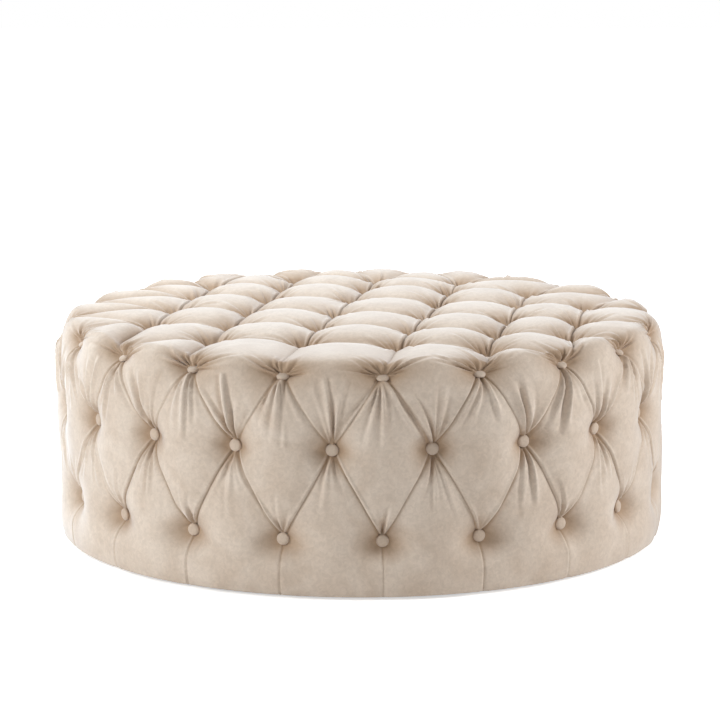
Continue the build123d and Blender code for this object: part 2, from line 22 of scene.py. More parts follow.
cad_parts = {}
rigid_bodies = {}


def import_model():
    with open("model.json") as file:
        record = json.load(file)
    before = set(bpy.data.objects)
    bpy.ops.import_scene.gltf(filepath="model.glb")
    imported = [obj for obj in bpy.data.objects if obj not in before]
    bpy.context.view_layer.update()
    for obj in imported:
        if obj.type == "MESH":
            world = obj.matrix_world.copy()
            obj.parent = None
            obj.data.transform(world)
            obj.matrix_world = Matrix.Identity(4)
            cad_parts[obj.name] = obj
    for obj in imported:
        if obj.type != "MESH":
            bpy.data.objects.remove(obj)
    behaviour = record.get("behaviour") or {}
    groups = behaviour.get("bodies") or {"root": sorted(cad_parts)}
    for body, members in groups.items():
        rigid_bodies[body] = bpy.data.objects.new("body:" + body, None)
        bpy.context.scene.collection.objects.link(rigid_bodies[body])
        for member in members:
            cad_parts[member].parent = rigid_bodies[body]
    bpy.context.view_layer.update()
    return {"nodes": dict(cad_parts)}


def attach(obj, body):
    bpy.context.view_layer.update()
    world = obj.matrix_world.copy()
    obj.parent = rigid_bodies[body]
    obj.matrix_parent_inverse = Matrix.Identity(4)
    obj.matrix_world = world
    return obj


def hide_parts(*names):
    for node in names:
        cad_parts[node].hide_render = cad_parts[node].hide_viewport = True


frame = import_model()

LOG = logging.getLogger("footstool")

TuftKey = Tuple
Colour = Tuple[float, float, float]
Stop = Tuple[float, Colour]
Span = Tuple[float, float]
Numbers = Union[float, np.ndarray]
Socket = bpy.types.NodeSocket


class Row(Enum):
    """The rows of tufts round the wall, and the grid on the top."""

    RIM = "rim"
    MIDDLE = "mid"
    LOW = "low"
    EDGE = "edge"
    TOP = "top"


class Chart(Enum):
    """The flat plan in which a puff is meshed: the wall unrolled, or the top opened out."""

    WALL = "wall"
    TOP = "top"


# The drum's smooth outer form, on which the tufts and pleats are laid out


def turn_between(start: Numbers, angle: Numbers) -> Numbers:
    """The turn from one angle to another, within half a turn either way."""
    return (angle - start + math.pi) % (2 * math.pi) - math.pi


@dataclass
class DrumForm:
    """The envelope that the crests of the puffs touch, as a profile turned round the axis.

    The top is slightly domed, a rounded shoulder leads down to the wall, and the wall tucks in at the floor.
    """

    radius: float = 0.5965
    height: float = 0.4440
    shoulder: float = 0.040
    shoulder_level: float = 0.382
    dome_rise: float = 0.0025
    tuck_level: float = 0.045
    tuck: float = 0.005
    tuck_power: float = 2.2
    bottom: float = 0.005
    normal_reach: float = 0.030
    profile: np.ndarray = field(init=False)

    DOME_STEPS: ClassVar[int] = 200
    SHOULDER_STEPS: ClassVar[int] = 40
    WALL_STEPS: ClassVar[int] = 240
    SEARCH_STEPS: ClassVar[int] = 6000
    SEARCH_START: ClassVar[float] = 0.02
    SEARCH_MARGIN: ClassVar[float] = 0.001

    def __post_init__(self) -> None:
        """Works out the profile: its length from the middle of the top, its radius and its height."""
        flat = self.radius - self.shoulder
        points = []
        for r in np.linspace(0, flat, self.DOME_STEPS):
            points.append((r, self.height - self.dome_rise * (r / flat) ** 2))
        top = points[-1][1]
        for a in np.linspace(0, math.pi / 2, self.SHOULDER_STEPS)[1:]:
            level = self.shoulder_level + (top - self.shoulder_level) * math.cos(a)
            points.append((flat + self.shoulder * math.sin(a), level))
        for z in np.linspace(self.shoulder_level, self.bottom, self.WALL_STEPS)[1:]:
            under = max(0.0, (self.tuck_level - z) / (self.tuck_level - self.bottom))
            points.append((self.radius - self.tuck * under**self.tuck_power, z))
        rz = np.array(points)
        run = np.concatenate([[0], np.cumsum(np.hypot(*np.diff(rz, axis=0).T))])
        self.profile = np.column_stack([run, rz])

    def at(self, run: np.ndarray) -> Tuple[np.ndarray, np.ndarray]:
        """The radius and height at lengths along the profile.

        Args:
            run: lengths from the middle of the top, in metres.

        Returns:
            The radii and the heights.
        """
        s, r, z = self.profile.T
        return np.interp(run, s, r), np.interp(run, s, z)

    def seat(self, radius: float, level: float) -> Tuple[float, float]:
        """Where on the profile, and how deep below it, a point inside the drum lies.

        Args:
            radius: the point's distance from the axis.
            level: its height.

        Returns:
            The length along the profile and the depth.
        """
        runs = np.linspace(self.SEARCH_START, self.profile[-1, 0] - self.SEARCH_MARGIN, self.SEARCH_STEPS)
        points, normals = self.place(np.zeros(len(runs)), runs)
        offset = points - np.array([0, -radius, level])
        depth = (offset * normals).sum(axis=1)
        miss = np.linalg.norm(offset - normals * depth[:, None], axis=1)
        best = int(np.where(depth < 0, np.inf, miss).argmin())
        return float(runs[best]), float(depth[best])

    def place(self, angle: np.ndarray, run: np.ndarray) -> Tuple[np.ndarray, np.ndarray]:
        """Points of the envelope and the directions out of it.

        Args:
            angle: angles from the front, in radians.
            run: lengths along the profile from the middle of the top.

        Returns:
            The points and the unit normals, one row each.
        """
        r, z = self.at(run)
        r0, z0 = self.at(np.maximum(run - self.normal_reach, 0))
        r1, z1 = self.at(np.minimum(run + self.normal_reach, self.profile[-1, 0]))
        dr, dz = r1 - r0, z1 - z0
        size = np.hypot(dr, dz)
        out, up = -dz / size, dr / size
        s, c = np.sin(angle), np.cos(angle)
        points = np.column_stack([r * s, -r * c, z])
        return points, np.column_stack([out * s, -out * c, up])


# The tufts, the gathers that run out from them, and the plan that joins them into puffs


@dataclass(frozen=True)
class Fold:
    """One gather that runs out from a button over a puff: a ridge with a furrow along one side."""

    angle: float
    length: float
    height: float
    width: float
    lean: float
    curl: float

    START: ClassVar[float] = 0.006
    ONSET: ClassVar[float] = 0.012
    ROOT_WIDTH_SHARE: ClassVar[float] = 0.42
    WIDENING_SHARE: ClassVar[float] = 0.75
    HALF_ANGLE: ClassVar[float] = 1.3
    FAR_OFF: ClassVar[float] = 1.0
    RIDGE_SHARE: ClassVar[float] = 0.8
    FURROW_OFFSET_SHARE: ClassVar[float] = 1.35
    FURROW_WIDTH_SHARE: ClassVar[float] = 0.75
    FADE_POWER: ClassVar[float] = 0.9

    def rise(self, far: np.ndarray, bearing: np.ndarray) -> np.ndarray:
        """How far it raises points.

        Args:
            far: their distances from the button.
            bearing: their directions from it.

        Returns:
            The heights, less than nothing in the furrow.
        """
        start = np.clip((far - self.START) / self.ONSET, 0, 1)
        reach = np.clip(1 - far / self.length, 0, 1)
        off = turn_between(self.curl * far / self.length, bearing - self.angle)
        width = self.width * (self.ROOT_WIDTH_SHARE + self.WIDENING_SHARE * np.minimum(far / self.length, 1))
        across = np.where(np.abs(off) < self.HALF_ANGLE, far * np.sin(off), self.FAR_OFF) / width
        beside = (across - self.FURROW_OFFSET_SHARE * np.sign(self.lean)) / self.FURROW_WIDTH_SHARE
        section = self.RIDGE_SHARE * np.exp(-(across**2)) - abs(self.lean) * np.exp(-(beside**2))
        return self.height * section * start * reach**self.FADE_POWER


@dataclass(frozen=True)
class Fan:
    """Gathers spread about one direction from a button.

    The direction is in degrees anticlockwise from the right, as seen from outside, and the spread is
    the fan's half width in degrees.
    """

    direction: float
    spread: float
    count: int
    length: float
    height: float
    breadth: float = 0.0051

    STRAY_SHARE: ClassVar[float] = 0.28
    LENGTH_SHARES: ClassVar[Span] = (0.5, 1.15)
    HEIGHT_SHARES: ClassVar[Span] = (0.4, 1.2)
    BREADTH_SHARES: ClassVar[Span] = (0.78, 1.22)
    LEAN_SHARES: ClassVar[Span] = (0.65, 1.1)
    MOST_CURL: ClassVar[float] = 0.30

    def folds(self, chance: random.Random) -> List[Fold]:
        """The fan's gathers, each a little unlike the next."""
        made = []
        for k in range(self.count):
            share = (k + 0.5 + chance.uniform(-self.STRAY_SHARE, self.STRAY_SHARE)) / self.count
            angle = math.radians(self.direction - self.spread + 2 * self.spread * share)
            length = self.length * chance.uniform(*self.LENGTH_SHARES)
            height = self.height * chance.uniform(*self.HEIGHT_SHARES)
            width = self.breadth * chance.uniform(*self.BREADTH_SHARES)
            lean = chance.uniform(*self.LEAN_SHARES) * chance.choice((-1, 1))
            curl = chance.uniform(-self.MOST_CURL, self.MOST_CURL)
            made.append(Fold(angle, length, height, width, lean, curl))
        return made


@dataclass
class Tuft:
    """A place where the velvet is drawn in."""

    angle: float
    run: float
    depth: float
    row: Row
    point: np.ndarray = field(init=False)
    normal: np.ndarray = field(init=False)
    folds: List[Fold] = field(default_factory=list)


# The odd puffs that join the square grid to the rim: rim buttons by number, grid ones by column and row.
EDGE_PUFFS = (
    "18 19 2.0 1.0", "19 0 3.0 2.0", "0 1 4.0 3.0", "1 2 4.0", "4.0 2 5.1 4.1", "2 3 5.1",
    "3 4 5.2 5.1", "4 5 5.3 5.2", "5 6 5.3", "4.3 5.3 6 4.4", "4.4 6 7", "3.4 4.4 7 3.5",
    "3.5 7 8", "3.5 8 9", "3.5 9 2.5", "2.5 9 10", "2.5 10 1.5", "1.5 10 11",
    "1.4 1.5 11 0.4", "0.4 11 12", "0.4 12 13", "0.3 0.4 13", "0.3 13 14", "0.2 0.3 14",
    "0.2 14 15", "0.1 0.2 15", "0.1 15 16", "0.1 16 17", "17 18 1.0", "0.1 17 1.0 1.1",
)
# Each column of the grid, with its first row and the one after its last.
GRID_ROWS = {0: (1, 5), 1: (0, 6), 2: (0, 6), 3: (0, 6), 4: (0, 5), 5: (1, 4)}


@dataclass
class TuftingPlan:
    """Where the buttons sit, and which of them bound each puff."""

    form: DrumForm
    round_count: int = 20
    first_angle: float = 3.9
    grid_turn: float = 10.0
    grid_middle: int = 3
    low_level: float = 0.104
    middle_level: float = 0.268
    rim_radius: float = 0.562
    rim_level: float = 0.398
    wall_tuft_radius: float = 0.565
    edge_depth: float = 0.004
    top_level: float = 0.408
    top_fall: float = 0.014
    tufts: Dict[TuftKey, Tuft] = field(default_factory=dict)
    puffs: List[Tuple[Chart, List[TuftKey]]] = field(default_factory=list)

    def __post_init__(self) -> None:
        """Lays out the tufts and the puffs."""
        step = 2 * math.pi / self.round_count
        self.lay_wall(step)
        self.lay_top(step)
        for tuft in self.tufts.values():
            points, normals = self.form.place(np.array([tuft.angle]), np.array([tuft.run]))
            tuft.normal = normals[0]
            tuft.point = points[0] - normals[0] * tuft.depth
        self.lay_wall_puffs()
        self.lay_top_puffs()

    def lay_wall(self, step: float) -> None:
        """The rim, middle and low rows, and the pleat ends at the bottom edge.

        Args:
            step: the angle from one button of a row to the next.
        """
        rim = self.form.seat(self.rim_radius, self.rim_level)
        middle = self.form.seat(self.wall_tuft_radius, self.middle_level)
        low = self.form.seat(self.wall_tuft_radius, self.low_level)
        edge = float(self.form.profile[-1, 0]), self.edge_depth
        for j in range(self.round_count):
            angle = math.radians(self.first_angle) + j * step
            self.tufts["rim", j] = Tuft(angle, *rim, Row.RIM)
            self.tufts["mid", j] = Tuft(angle + step / 2, *middle, Row.MIDDLE)
            self.tufts["low", j] = Tuft(angle, *low, Row.LOW)
            self.tufts["edge", j] = Tuft(angle, *edge, Row.EDGE)

    def lay_top(self, step: float) -> None:
        """The square grid of the top, turned a little against the front.

        Its columns and rows are spaced by the rim row's own angles, so it draws closer towards the rim.

        Args:
            step: the angle from one button of the rim row to the next.
        """
        turn = math.radians(self.grid_turn)
        first = math.radians(self.first_angle) + turn - self.grid_middle * step
        for column, (start, stop) in GRID_ROWS.items():
            for row in range(start, stop):
                across = self.rim_radius * math.sin(first + column * step)
                away = self.rim_radius * math.sin(first + row * step)
                x = across * math.cos(turn) + away * math.sin(turn)
                y = away * math.cos(turn) - across * math.sin(turn)
                far = math.hypot(x, y)
                fall = self.top_fall * (far / self.form.radius) ** 2
                run, depth = self.form.seat(far, self.top_level - fall)
                self.tufts["top", column, row] = Tuft(math.atan2(x, -y), run, depth, Row.TOP)

    def lay_wall_puffs(self) -> None:
        """The diamonds between the rim and low rows, and the skirt puffs below them."""
        for j in range(self.round_count):
            after, before = (j + 1) % self.round_count, (j - 1) % self.round_count
            self.puffs.append((Chart.WALL, [("rim", j), ("mid", before), ("low", j), ("mid", j)]))
            skirt = [("mid", j), ("low", j), ("edge", j), ("edge", after), ("low", after)]
            self.puffs.append((Chart.WALL, skirt))

    def lay_top_puffs(self) -> None:
        """The odd puffs along the rim, which reach down to the middle row, and the squares of the grid."""
        for names in EDGE_PUFFS:
            keys = [self.key(name) for name in names.split()]
            whole = []
            for a, b in zip(keys, keys[1:] + keys[:1]):
                whole.append(a)
                if a[0] == "rim" and b[0] == "rim":
                    whole.append(("mid", a[1]))
            self.puffs.append((Chart.TOP, whole))
        for column in range(len(GRID_ROWS) - 1):
            for row in range(max(stop for _, stop in GRID_ROWS.values()) - 1):
                keys = [("top", column, row), ("top", column + 1, row)]
                keys += [("top", column + 1, row + 1), ("top", column, row + 1)]
                if all(k in self.tufts for k in keys):
                    self.puffs.append((Chart.TOP, keys))

    @staticmethod
    def key(name: str) -> TuftKey:
        """The tuft that a short name means."""
        if "." in name:
            column, row = name.split(".")
            return "top", int(column), int(row)
        return "rim", int(name)


# Finishes


class NodeBench:
    """Lays out the nodes of one material."""

    MIX_AMOUNT: ClassVar[int] = 0
    MIX_FIRST: ClassVar[int] = 6
    MIX_SECOND: ClassVar[int] = 7
    MIX_RESULT: ClassVar[int] = 2

    def __init__(self, name: str) -> None:
        """Starts a material with an empty node tree but for its shader and output."""
        self.material = bpy.data.materials.new(name)
        self.material.use_nodes = True
        self.tree = self.material.node_tree
        self.tree.nodes.clear()
        self.shader = self.tree.nodes.new("ShaderNodeBsdfPrincipled")
        output = self.tree.nodes.new("ShaderNodeOutputMaterial")
        self.link(self.shader.outputs["BSDF"], output.inputs["Surface"])

    def link(self, source: Socket, target: Socket) -> None:
        """Joins one socket to another."""
        self.tree.links.new(source, target)

    def coordinates(self, stretch: Tuple[float, float, float] = (1, 1, 1)) -> Socket:
        """The object's own coordinates, stretched along its axes."""
        place = self.tree.nodes.new("ShaderNodeTexCoord")
        mapping = self.tree.nodes.new("ShaderNodeMapping")
        mapping.inputs["Scale"].default_value = stretch
        self.link(place.outputs["Object"], mapping.inputs["Vector"])
        return mapping.outputs["Vector"]

    def noise(
        self, scale: float, detail: float, distortion: float = 0.0,
        stretch: Tuple[float, float, float] = (1, 1, 1),
    ) -> Socket:
        """A noise value over the object.

        Args:
            scale: how many patches a metre holds.
            detail: how many finer layers it has.
            distortion: how far the patches are pulled about.
            stretch: how much denser it is along each axis.

        Returns:
            The value's socket.
        """
        node = self.tree.nodes.new("ShaderNodeTexNoise")
        node.inputs["Scale"].default_value = scale
        node.inputs["Detail"].default_value = detail
        node.inputs["Distortion"].default_value = distortion
        self.link(self.coordinates(stretch), node.inputs["Vector"])
        return node.outputs["Fac"]

    def ramp(self, value: Socket, low: Stop, high: Stop) -> Socket:
        """Turns a value into a colour between two stops."""
        node = self.tree.nodes.new("ShaderNodeValToRGB")
        for element, (place, colour) in zip(node.color_ramp.elements, (low, high)):
            element.position, element.color = place, (*colour, 1)
        self.link(value, node.inputs["Fac"])
        return node.outputs["Color"]

    def blend(
        self, first: Socket, second: Socket, amount: Optional[Socket] = None, way: str = "MIX",
    ) -> Socket:
        """Mixes two colours.

        Args:
            first: the colour underneath.
            second: the colour laid on it.
            amount: how much of the second there is, or None for all of it.
            way: how it is laid on.

        Returns:
            The mixed colour's socket.
        """
        node = self.tree.nodes.new("ShaderNodeMix")
        node.data_type, node.blend_type = "RGBA", way
        node.inputs[self.MIX_AMOUNT].default_value = 1.0
        if amount is not None:
            self.link(amount, node.inputs[self.MIX_AMOUNT])
        self.link(first, node.inputs[self.MIX_FIRST])
        self.link(second, node.inputs[self.MIX_SECOND])
        return node.outputs[self.MIX_RESULT]

    def attribute(self, name: str) -> Socket:
        """A value that the mesh carries on its vertices."""
        node = self.tree.nodes.new("ShaderNodeAttribute")
        node.attribute_name = name
        return node.outputs["Fac"]

    def span(self, value: Socket, source: Span, target: Span = (0.0, 1.0)) -> Socket:
        """Moves a value from one range to another."""
        node = self.tree.nodes.new("ShaderNodeMapRange")
        for name, number in zip(("From Min", "From Max", "To Min", "To Max"), (*source, *target)):
            node.inputs[name].default_value = number
        self.link(value, node.inputs["Value"])
        return node.outputs["Result"]

    def bump(
        self, height: Socket, distance: float, strength: float, under: Optional[Socket] = None,
    ) -> Socket:
        """Raises the surface by a value, on top of another bump."""
        node = self.tree.nodes.new("ShaderNodeBump")
        node.inputs["Distance"].default_value = distance
        node.inputs["Strength"].default_value = strength
        self.link(height, node.inputs["Height"])
        if under is not None:
            self.link(under, node.inputs["Normal"])
        return node.outputs["Normal"]

    def surface(self, colour: Socket, roughness: Socket, normal: Socket) -> bpy.types.Material:
        """Joins a colour, a roughness and a bump to the shader, and gives the material."""
        self.link(colour, self.shader.inputs["Base Color"])
        self.link(roughness, self.shader.inputs["Roughness"])
        self.link(normal, self.shader.inputs["Normal"])
        return self.material

    def constant(self, **values: object) -> None:
        """Sets plain numbers and colours on the shader's own sockets."""
        for name, value in values.items():
            self.shader.inputs[name.replace("_", " ")].default_value = value


@dataclass(frozen=True)
class VelvetFinish:
    """Short-pile velvet: soft sheen, brushed patches, and painted shade, a darker brown where the velvet lies
    deep, in the hollows, along the pleat lines and round the buttons.
    """

    light: Colour = (0.712, 0.596, 0.490)
    body: Colour = (0.632, 0.510, 0.405)
    # Painted shade: the brown the velvet turns where it lies deep, in hollows, creases and round buttons, and
    # the depths over which it comes in.
    painted_shade: Colour = (0.410, 0.285, 0.190)
    painted_shade_light_share: float = 1.12
    brushed_dark: Colour = (0.92, 0.912, 0.905)
    brushed_light: Colour = (1.04, 1.04, 1.04)
    shade_depth_span: Span = (0.008, 0.031)
    sheen_tint: Colour = (0.97, 0.97, 0.985)

    def build(self) -> bpy.types.Material:
        """The material."""
        bench = NodeBench("velvet_pile")
        nap = bench.noise(scale=12.0, detail=5.0, distortion=1.2)
        brushed = bench.noise(scale=140.0, detail=6.0, distortion=0.8)
        colour = bench.ramp(nap, (0.34, self.body), (0.66, self.light))
        shade = bench.ramp(brushed, (0.35, self.brushed_dark), (0.68, self.brushed_light))
        colour = bench.blend(colour, shade, way="MULTIPLY")
        # Painted shade: the velvet turns darker brown as the mesh's depth value grows.
        painted_shade_depth = bench.span(bench.attribute("painted_shade_depth"), self.shade_depth_span)
        lifted = tuple(c * self.painted_shade_light_share for c in self.painted_shade)
        deep = bench.ramp(brushed, (0.3, self.painted_shade), (0.7, lifted))
        colour = bench.blend(colour, deep, painted_shade_depth)
        roughness = bench.span(brushed, (0.3, 0.7), (0.82, 0.98))
        # A bump for the crushed pile.
        pile_crush_and_painted_shade = bench.bump(brushed, distance=0.0006, strength=0.35)
        threads = bench.noise(scale=900.0, detail=2.0)
        pile = bench.bump(threads, distance=0.00025, strength=0.30, under=pile_crush_and_painted_shade)
        bench.constant(Sheen_Weight=0.8, Sheen_Roughness=0.38, Specular_IOR_Level=0.15)
        bench.constant(Sheen_Tint=(*self.sheen_tint, 1))
        return bench.surface(colour, roughness, pile)


@dataclass(frozen=True)
class GrainFinish:
    """Bare wood or board, with its grain along one axis."""

    name: str
    light: Colour
    dark: Colour
    stretch: Tuple[float, float, float] = (3, 40, 40)
    roughness: float = 0.72
    roughness_spread: float = 0.08
    patch_dark: Colour = (0.92, 0.91, 0.90)

    def build(self) -> bpy.types.Material:
        """The material."""
        bench = NodeBench(self.name)
        grain = bench.noise(scale=3.0, detail=8.0, distortion=0.8, stretch=self.stretch)
        patches = bench.noise(scale=7.0, detail=3.0)
        colour = bench.ramp(grain, (0.32, self.dark), (0.68, self.light))
        toned = bench.ramp(patches, (0.3, self.patch_dark), (0.7, (1.0, 1.0, 1.0)))
        colour = bench.blend(colour, toned, way="MULTIPLY")
        rough = self.roughness + self.roughness_spread, self.roughness - self.roughness_spread
        pores = bench.bump(grain, distance=0.0004, strength=0.4)
        return bench.surface(colour, bench.span(grain, (0.3, 0.7), rough), pores)


@dataclass(frozen=True)
class FibreFinish:
    """Cloth, wadding, foam or twine: a matt colour with a fine uneven surface."""

    name: str
    light: Colour
    dark: Colour
    scale: float = 220.0
    depth: float = 0.0006
    roughness: float = 0.92
    roughness_fall: float = 0.1
    sheen: float = 0.15

    def build(self) -> bpy.types.Material:
        """The material."""
        bench = NodeBench(self.name)
        fibres = bench.noise(self.scale, detail=4.0, distortion=0.4)
        colour = bench.ramp(fibres, (0.3, self.dark), (0.7, self.light))
        rough = self.roughness, self.roughness - self.roughness_fall
        fuzz = bench.bump(fibres, self.depth, strength=0.6)
        bench.constant(Sheen_Weight=self.sheen, Specular_IOR_Level=0.25)
        return bench.surface(colour, bench.span(fibres, (0.3, 0.7), rough), fuzz)


@dataclass(frozen=True)
class SteelFinish:
    """Plated steel with fine scratches and dull patches."""

    name: str
    light: Colour
    dark: Colour
    roughness: float = 0.38
    dulled: float = 0.12
    polished: float = 0.06

    def build(self) -> bpy.types.Material:
        """The material."""
        bench = NodeBench(self.name)
        scratches = bench.noise(scale=60.0, detail=6.0, distortion=0.2, stretch=(1, 1, 14))
        colour = bench.ramp(scratches, (0.3, self.dark), (0.7, self.light))
        rough = self.roughness + self.dulled, self.roughness - self.polished
        cuts = bench.bump(scratches, distance=0.0001, strength=0.3)
        bench.constant(Metallic=1.0)
        return bench.surface(colour, bench.span(scratches, (0.3, 0.7), rough), cuts)


@dataclass(frozen=True)
class MouldedFinish:
    """Moulded plastic or pressed fibre with a faint orange-peel surface."""

    name: str
    light: Colour
    dark: Colour
    roughness: float = 0.5
    roughness_spread: float = 0.06

    def build(self) -> bpy.types.Material:
        """The material."""
        bench = NodeBench(self.name)
        peel = bench.noise(scale=380.0, detail=3.0)
        colour = bench.ramp(peel, (0.3, self.dark), (0.7, self.light))
        rough = self.roughness + self.roughness_spread, self.roughness - self.roughness_spread
        dimples = bench.bump(peel, distance=0.0001, strength=0.25)
        return bench.surface(colour, bench.span(peel, (0.3, 0.7), rough), dimples)


# Flat geometry, for meshing one puff


@dataclass(frozen=True)
class FlatPlan:
    """The form round one puff laid out flat: the wall unrolled about the puff's middle, or the top."""

    chart: Chart
    middle: float
    radius: float

    @classmethod
    def about(cls, chart: Chart, tufts: List[Tuft], radius: float) -> "FlatPlan":
        """The plan about the middle of some tufts."""
        middle = math.atan2(sum(math.sin(t.angle) for t in tufts), sum(math.cos(t.angle) for t in tufts))
        return cls(chart, middle, radius)

    def lay(self, angle: np.ndarray, run: np.ndarray) -> np.ndarray:
        """Lays points of the form out flat."""
        if self.chart is Chart.TOP:
            return np.column_stack([run * np.sin(angle), -run * np.cos(angle)])
        return np.column_stack([turn_between(self.middle, angle) * self.radius, -run])

    def lay_tufts(self, tufts: List[Tuft]) -> np.ndarray:
        """Lays tufts out flat."""
        return self.lay(np.array([t.angle for t in tufts]), np.array([t.run for t in tufts]))

    def lift(self, points: np.ndarray) -> Tuple[np.ndarray, np.ndarray]:
        """Takes flat points back to angles and runs."""
        if self.chart is Chart.TOP:
            return np.arctan2(points[:, 0], -points[:, 1]), np.hypot(points[:, 0], points[:, 1])
        return self.middle + points[:, 0] / self.radius, -points[:, 1]


def inside(points: np.ndarray, outline: np.ndarray) -> np.ndarray:
    """Which flat points lie inside an outline."""
    least_rise = 1e-12
    x, y = points[:, :1], points[:, 1:]
    x0, y0 = outline.T
    x1, y1 = np.roll(outline, -1, axis=0).T
    crosses = (y0 > y) != (y1 > y)
    rise = np.where(np.abs(y1 - y0) < least_rise, least_rise, y1 - y0)
    return (crosses & (x < (x1 - x0) * (y - y0) / rise + x0)).sum(axis=1) % 2 == 1


def nearest(points: np.ndarray, path: np.ndarray, values: np.ndarray) -> Tuple[np.ndarray, np.ndarray]:
    """How far flat points are from a path, and the path's value at the nearest place."""
    a, b = path[:-1], path[1:]
    ab = b - a
    share = ((points[:, None] - a) * ab).sum(-1) / (ab**2).sum(-1)
    share = np.clip(share, 0, 1)
    gap = np.linalg.norm(points[:, None] - (a + share[..., None] * ab), axis=-1)
    best = gap.argmin(axis=1)
    rows = np.arange(len(points))
    s = share[rows, best]
    return gap[rows, best], values[best] * (1 - s) + values[best + 1] * s


def fill(ring: np.ndarray, grid: np.ndarray) -> np.ndarray:
    """Fills an outline with triangles that all face up.

    The mesher also fills the slivers between a side and its chord, outside the outline. They are dropped.

    Args:
        ring: the outline.
        grid: the points inside it.

    Returns:
        The triangles, by the numbers of their corners, those of the grid after the ring's.
    """
    only_inside, merge_gap = 1, 1e-7
    points = [Vector(p) for p in np.vstack([ring, grid])]
    loop = list(range(len(ring)))
    _, _, triangles, sources, _, _ = delaunay_2d_cdt(points, [], [loop], only_inside, merge_gap, True)
    spots = np.array(points, dtype=float)
    tri = np.array([s[0] for s in sources])[np.array(triangles)]
    corners = spots[tri]
    kept = (tri >= len(ring)).any(axis=1)
    kept[~kept] = inside(corners[~kept].mean(axis=1), spots[:len(ring)])
    tri, corners = tri[kept], corners[kept]
    first, second = corners[:, 1] - corners[:, 0], corners[:, 2] - corners[:, 0]
    upright = first[:, 0] * second[:, 1] - first[:, 1] * second[:, 0] > 0
    tri[~upright] = tri[~upright][:, ::-1]
    return tri


# The velvet cover


@dataclass
class Pleat:
    """The line of the fold from one tuft to the next."""

    ends: Tuple[TuftKey, TuftKey]
    angle: np.ndarray
    run: np.ndarray
    depth: np.ndarray
    line: float
    lap: float
    ids: List[int] = field(default_factory=list)


@dataclass(frozen=True)
class Side:
    """A pleat as one of the puffs beside it meets it, in that puff's flat plan."""

    path: np.ndarray
    depth: np.ndarray
    line: float
    lip: float


@dataclass
class Inflation:
    """The pad's own push on its velvet: a cloth simulation of the cover, held at its pleats and buttons."""

    pressure: float = 15.0
    frames: int = 20
    steps: int = 4
    mass: float = 0.3
    tension: float = 5.0
    shear: float = 3.0
    bending: float = 5.0
    damping: float = 2.0
    cap: float = 0.016

    SPACING: ClassVar[float] = 0.0072
    SLACK: ClassVar[float] = 0.002
    LEAST_MOVE: ClassVar[float] = 1e-9

    def run(self, start: np.ndarray, faces: np.ndarray, held: np.ndarray) -> np.ndarray:
        """Blows the cover up.

        Args:
            start: where its vertices start.
            faces: its triangles.
            held: the vertices that don't move.

        Returns:
            How far each vertex moves, one row each.
        """
        mesh = bpy.data.meshes.new("velvet_blank")
        mesh.from_pydata(start.tolist(), [], faces.tolist())
        blank = bpy.data.objects.new("velvet_blank", mesh)
        bpy.context.collection.objects.link(blank)
        blank.vertex_groups.new(name="held").add(held.tolist(), 1.0, "REPLACE")
        cloth = blank.modifiers.new("pressure", "CLOTH")
        self.set_rules(cloth.settings)
        cloth.point_cache.frame_start, cloth.point_cache.frame_end = 1, self.frames
        for k in range(1, self.frames + 1):
            bpy.context.scene.frame_set(k)
        blown = blank.evaluated_get(bpy.context.evaluated_depsgraph_get())
        end = np.empty(len(start) * 3)
        blown.data.vertices.foreach_get("co", end)
        bpy.data.objects.remove(blank)
        bpy.data.meshes.remove(mesh)
        bpy.context.scene.frame_set(1)
        move = end.reshape(-1, 3) - start
        size = np.linalg.norm(move, axis=1)
        LOG.info("inflation: median move %.1f mm, largest %.1f mm", np.median(size) * 1e3, size.max() * 1e3)
        return move * np.minimum(1, self.cap / np.maximum(size, self.LEAST_MOVE))[:, None]

    def set_rules(self, rules: bpy.types.ClothSettings) -> None:
        """Sets how the velvet stretches and what pushes it."""
        rules.quality = self.steps
        rules.mass = self.mass
        rules.tension_stiffness = rules.compression_stiffness = self.tension
        rules.shear_stiffness = self.shear
        rules.bending_stiffness = self.bending
        rules.air_damping = self.damping
        rules.vertex_group_mass = "held"
        rules.use_pressure = True
        rules.uniform_pressure_force = self.pressure
        rules.effector_weights.gravity = 0


def mark_painted_shade(mesh: bpy.types.Mesh, depth: np.ndarray) -> None:
    """Gives the vertices of velvet the depth by which its painted shade darkens them."""
    painted_shade_depth = mesh.attributes.new("painted_shade_depth", "FLOAT", "POINT")
    painted_shade_depth.data.foreach_set("value", depth.astype(np.float32))


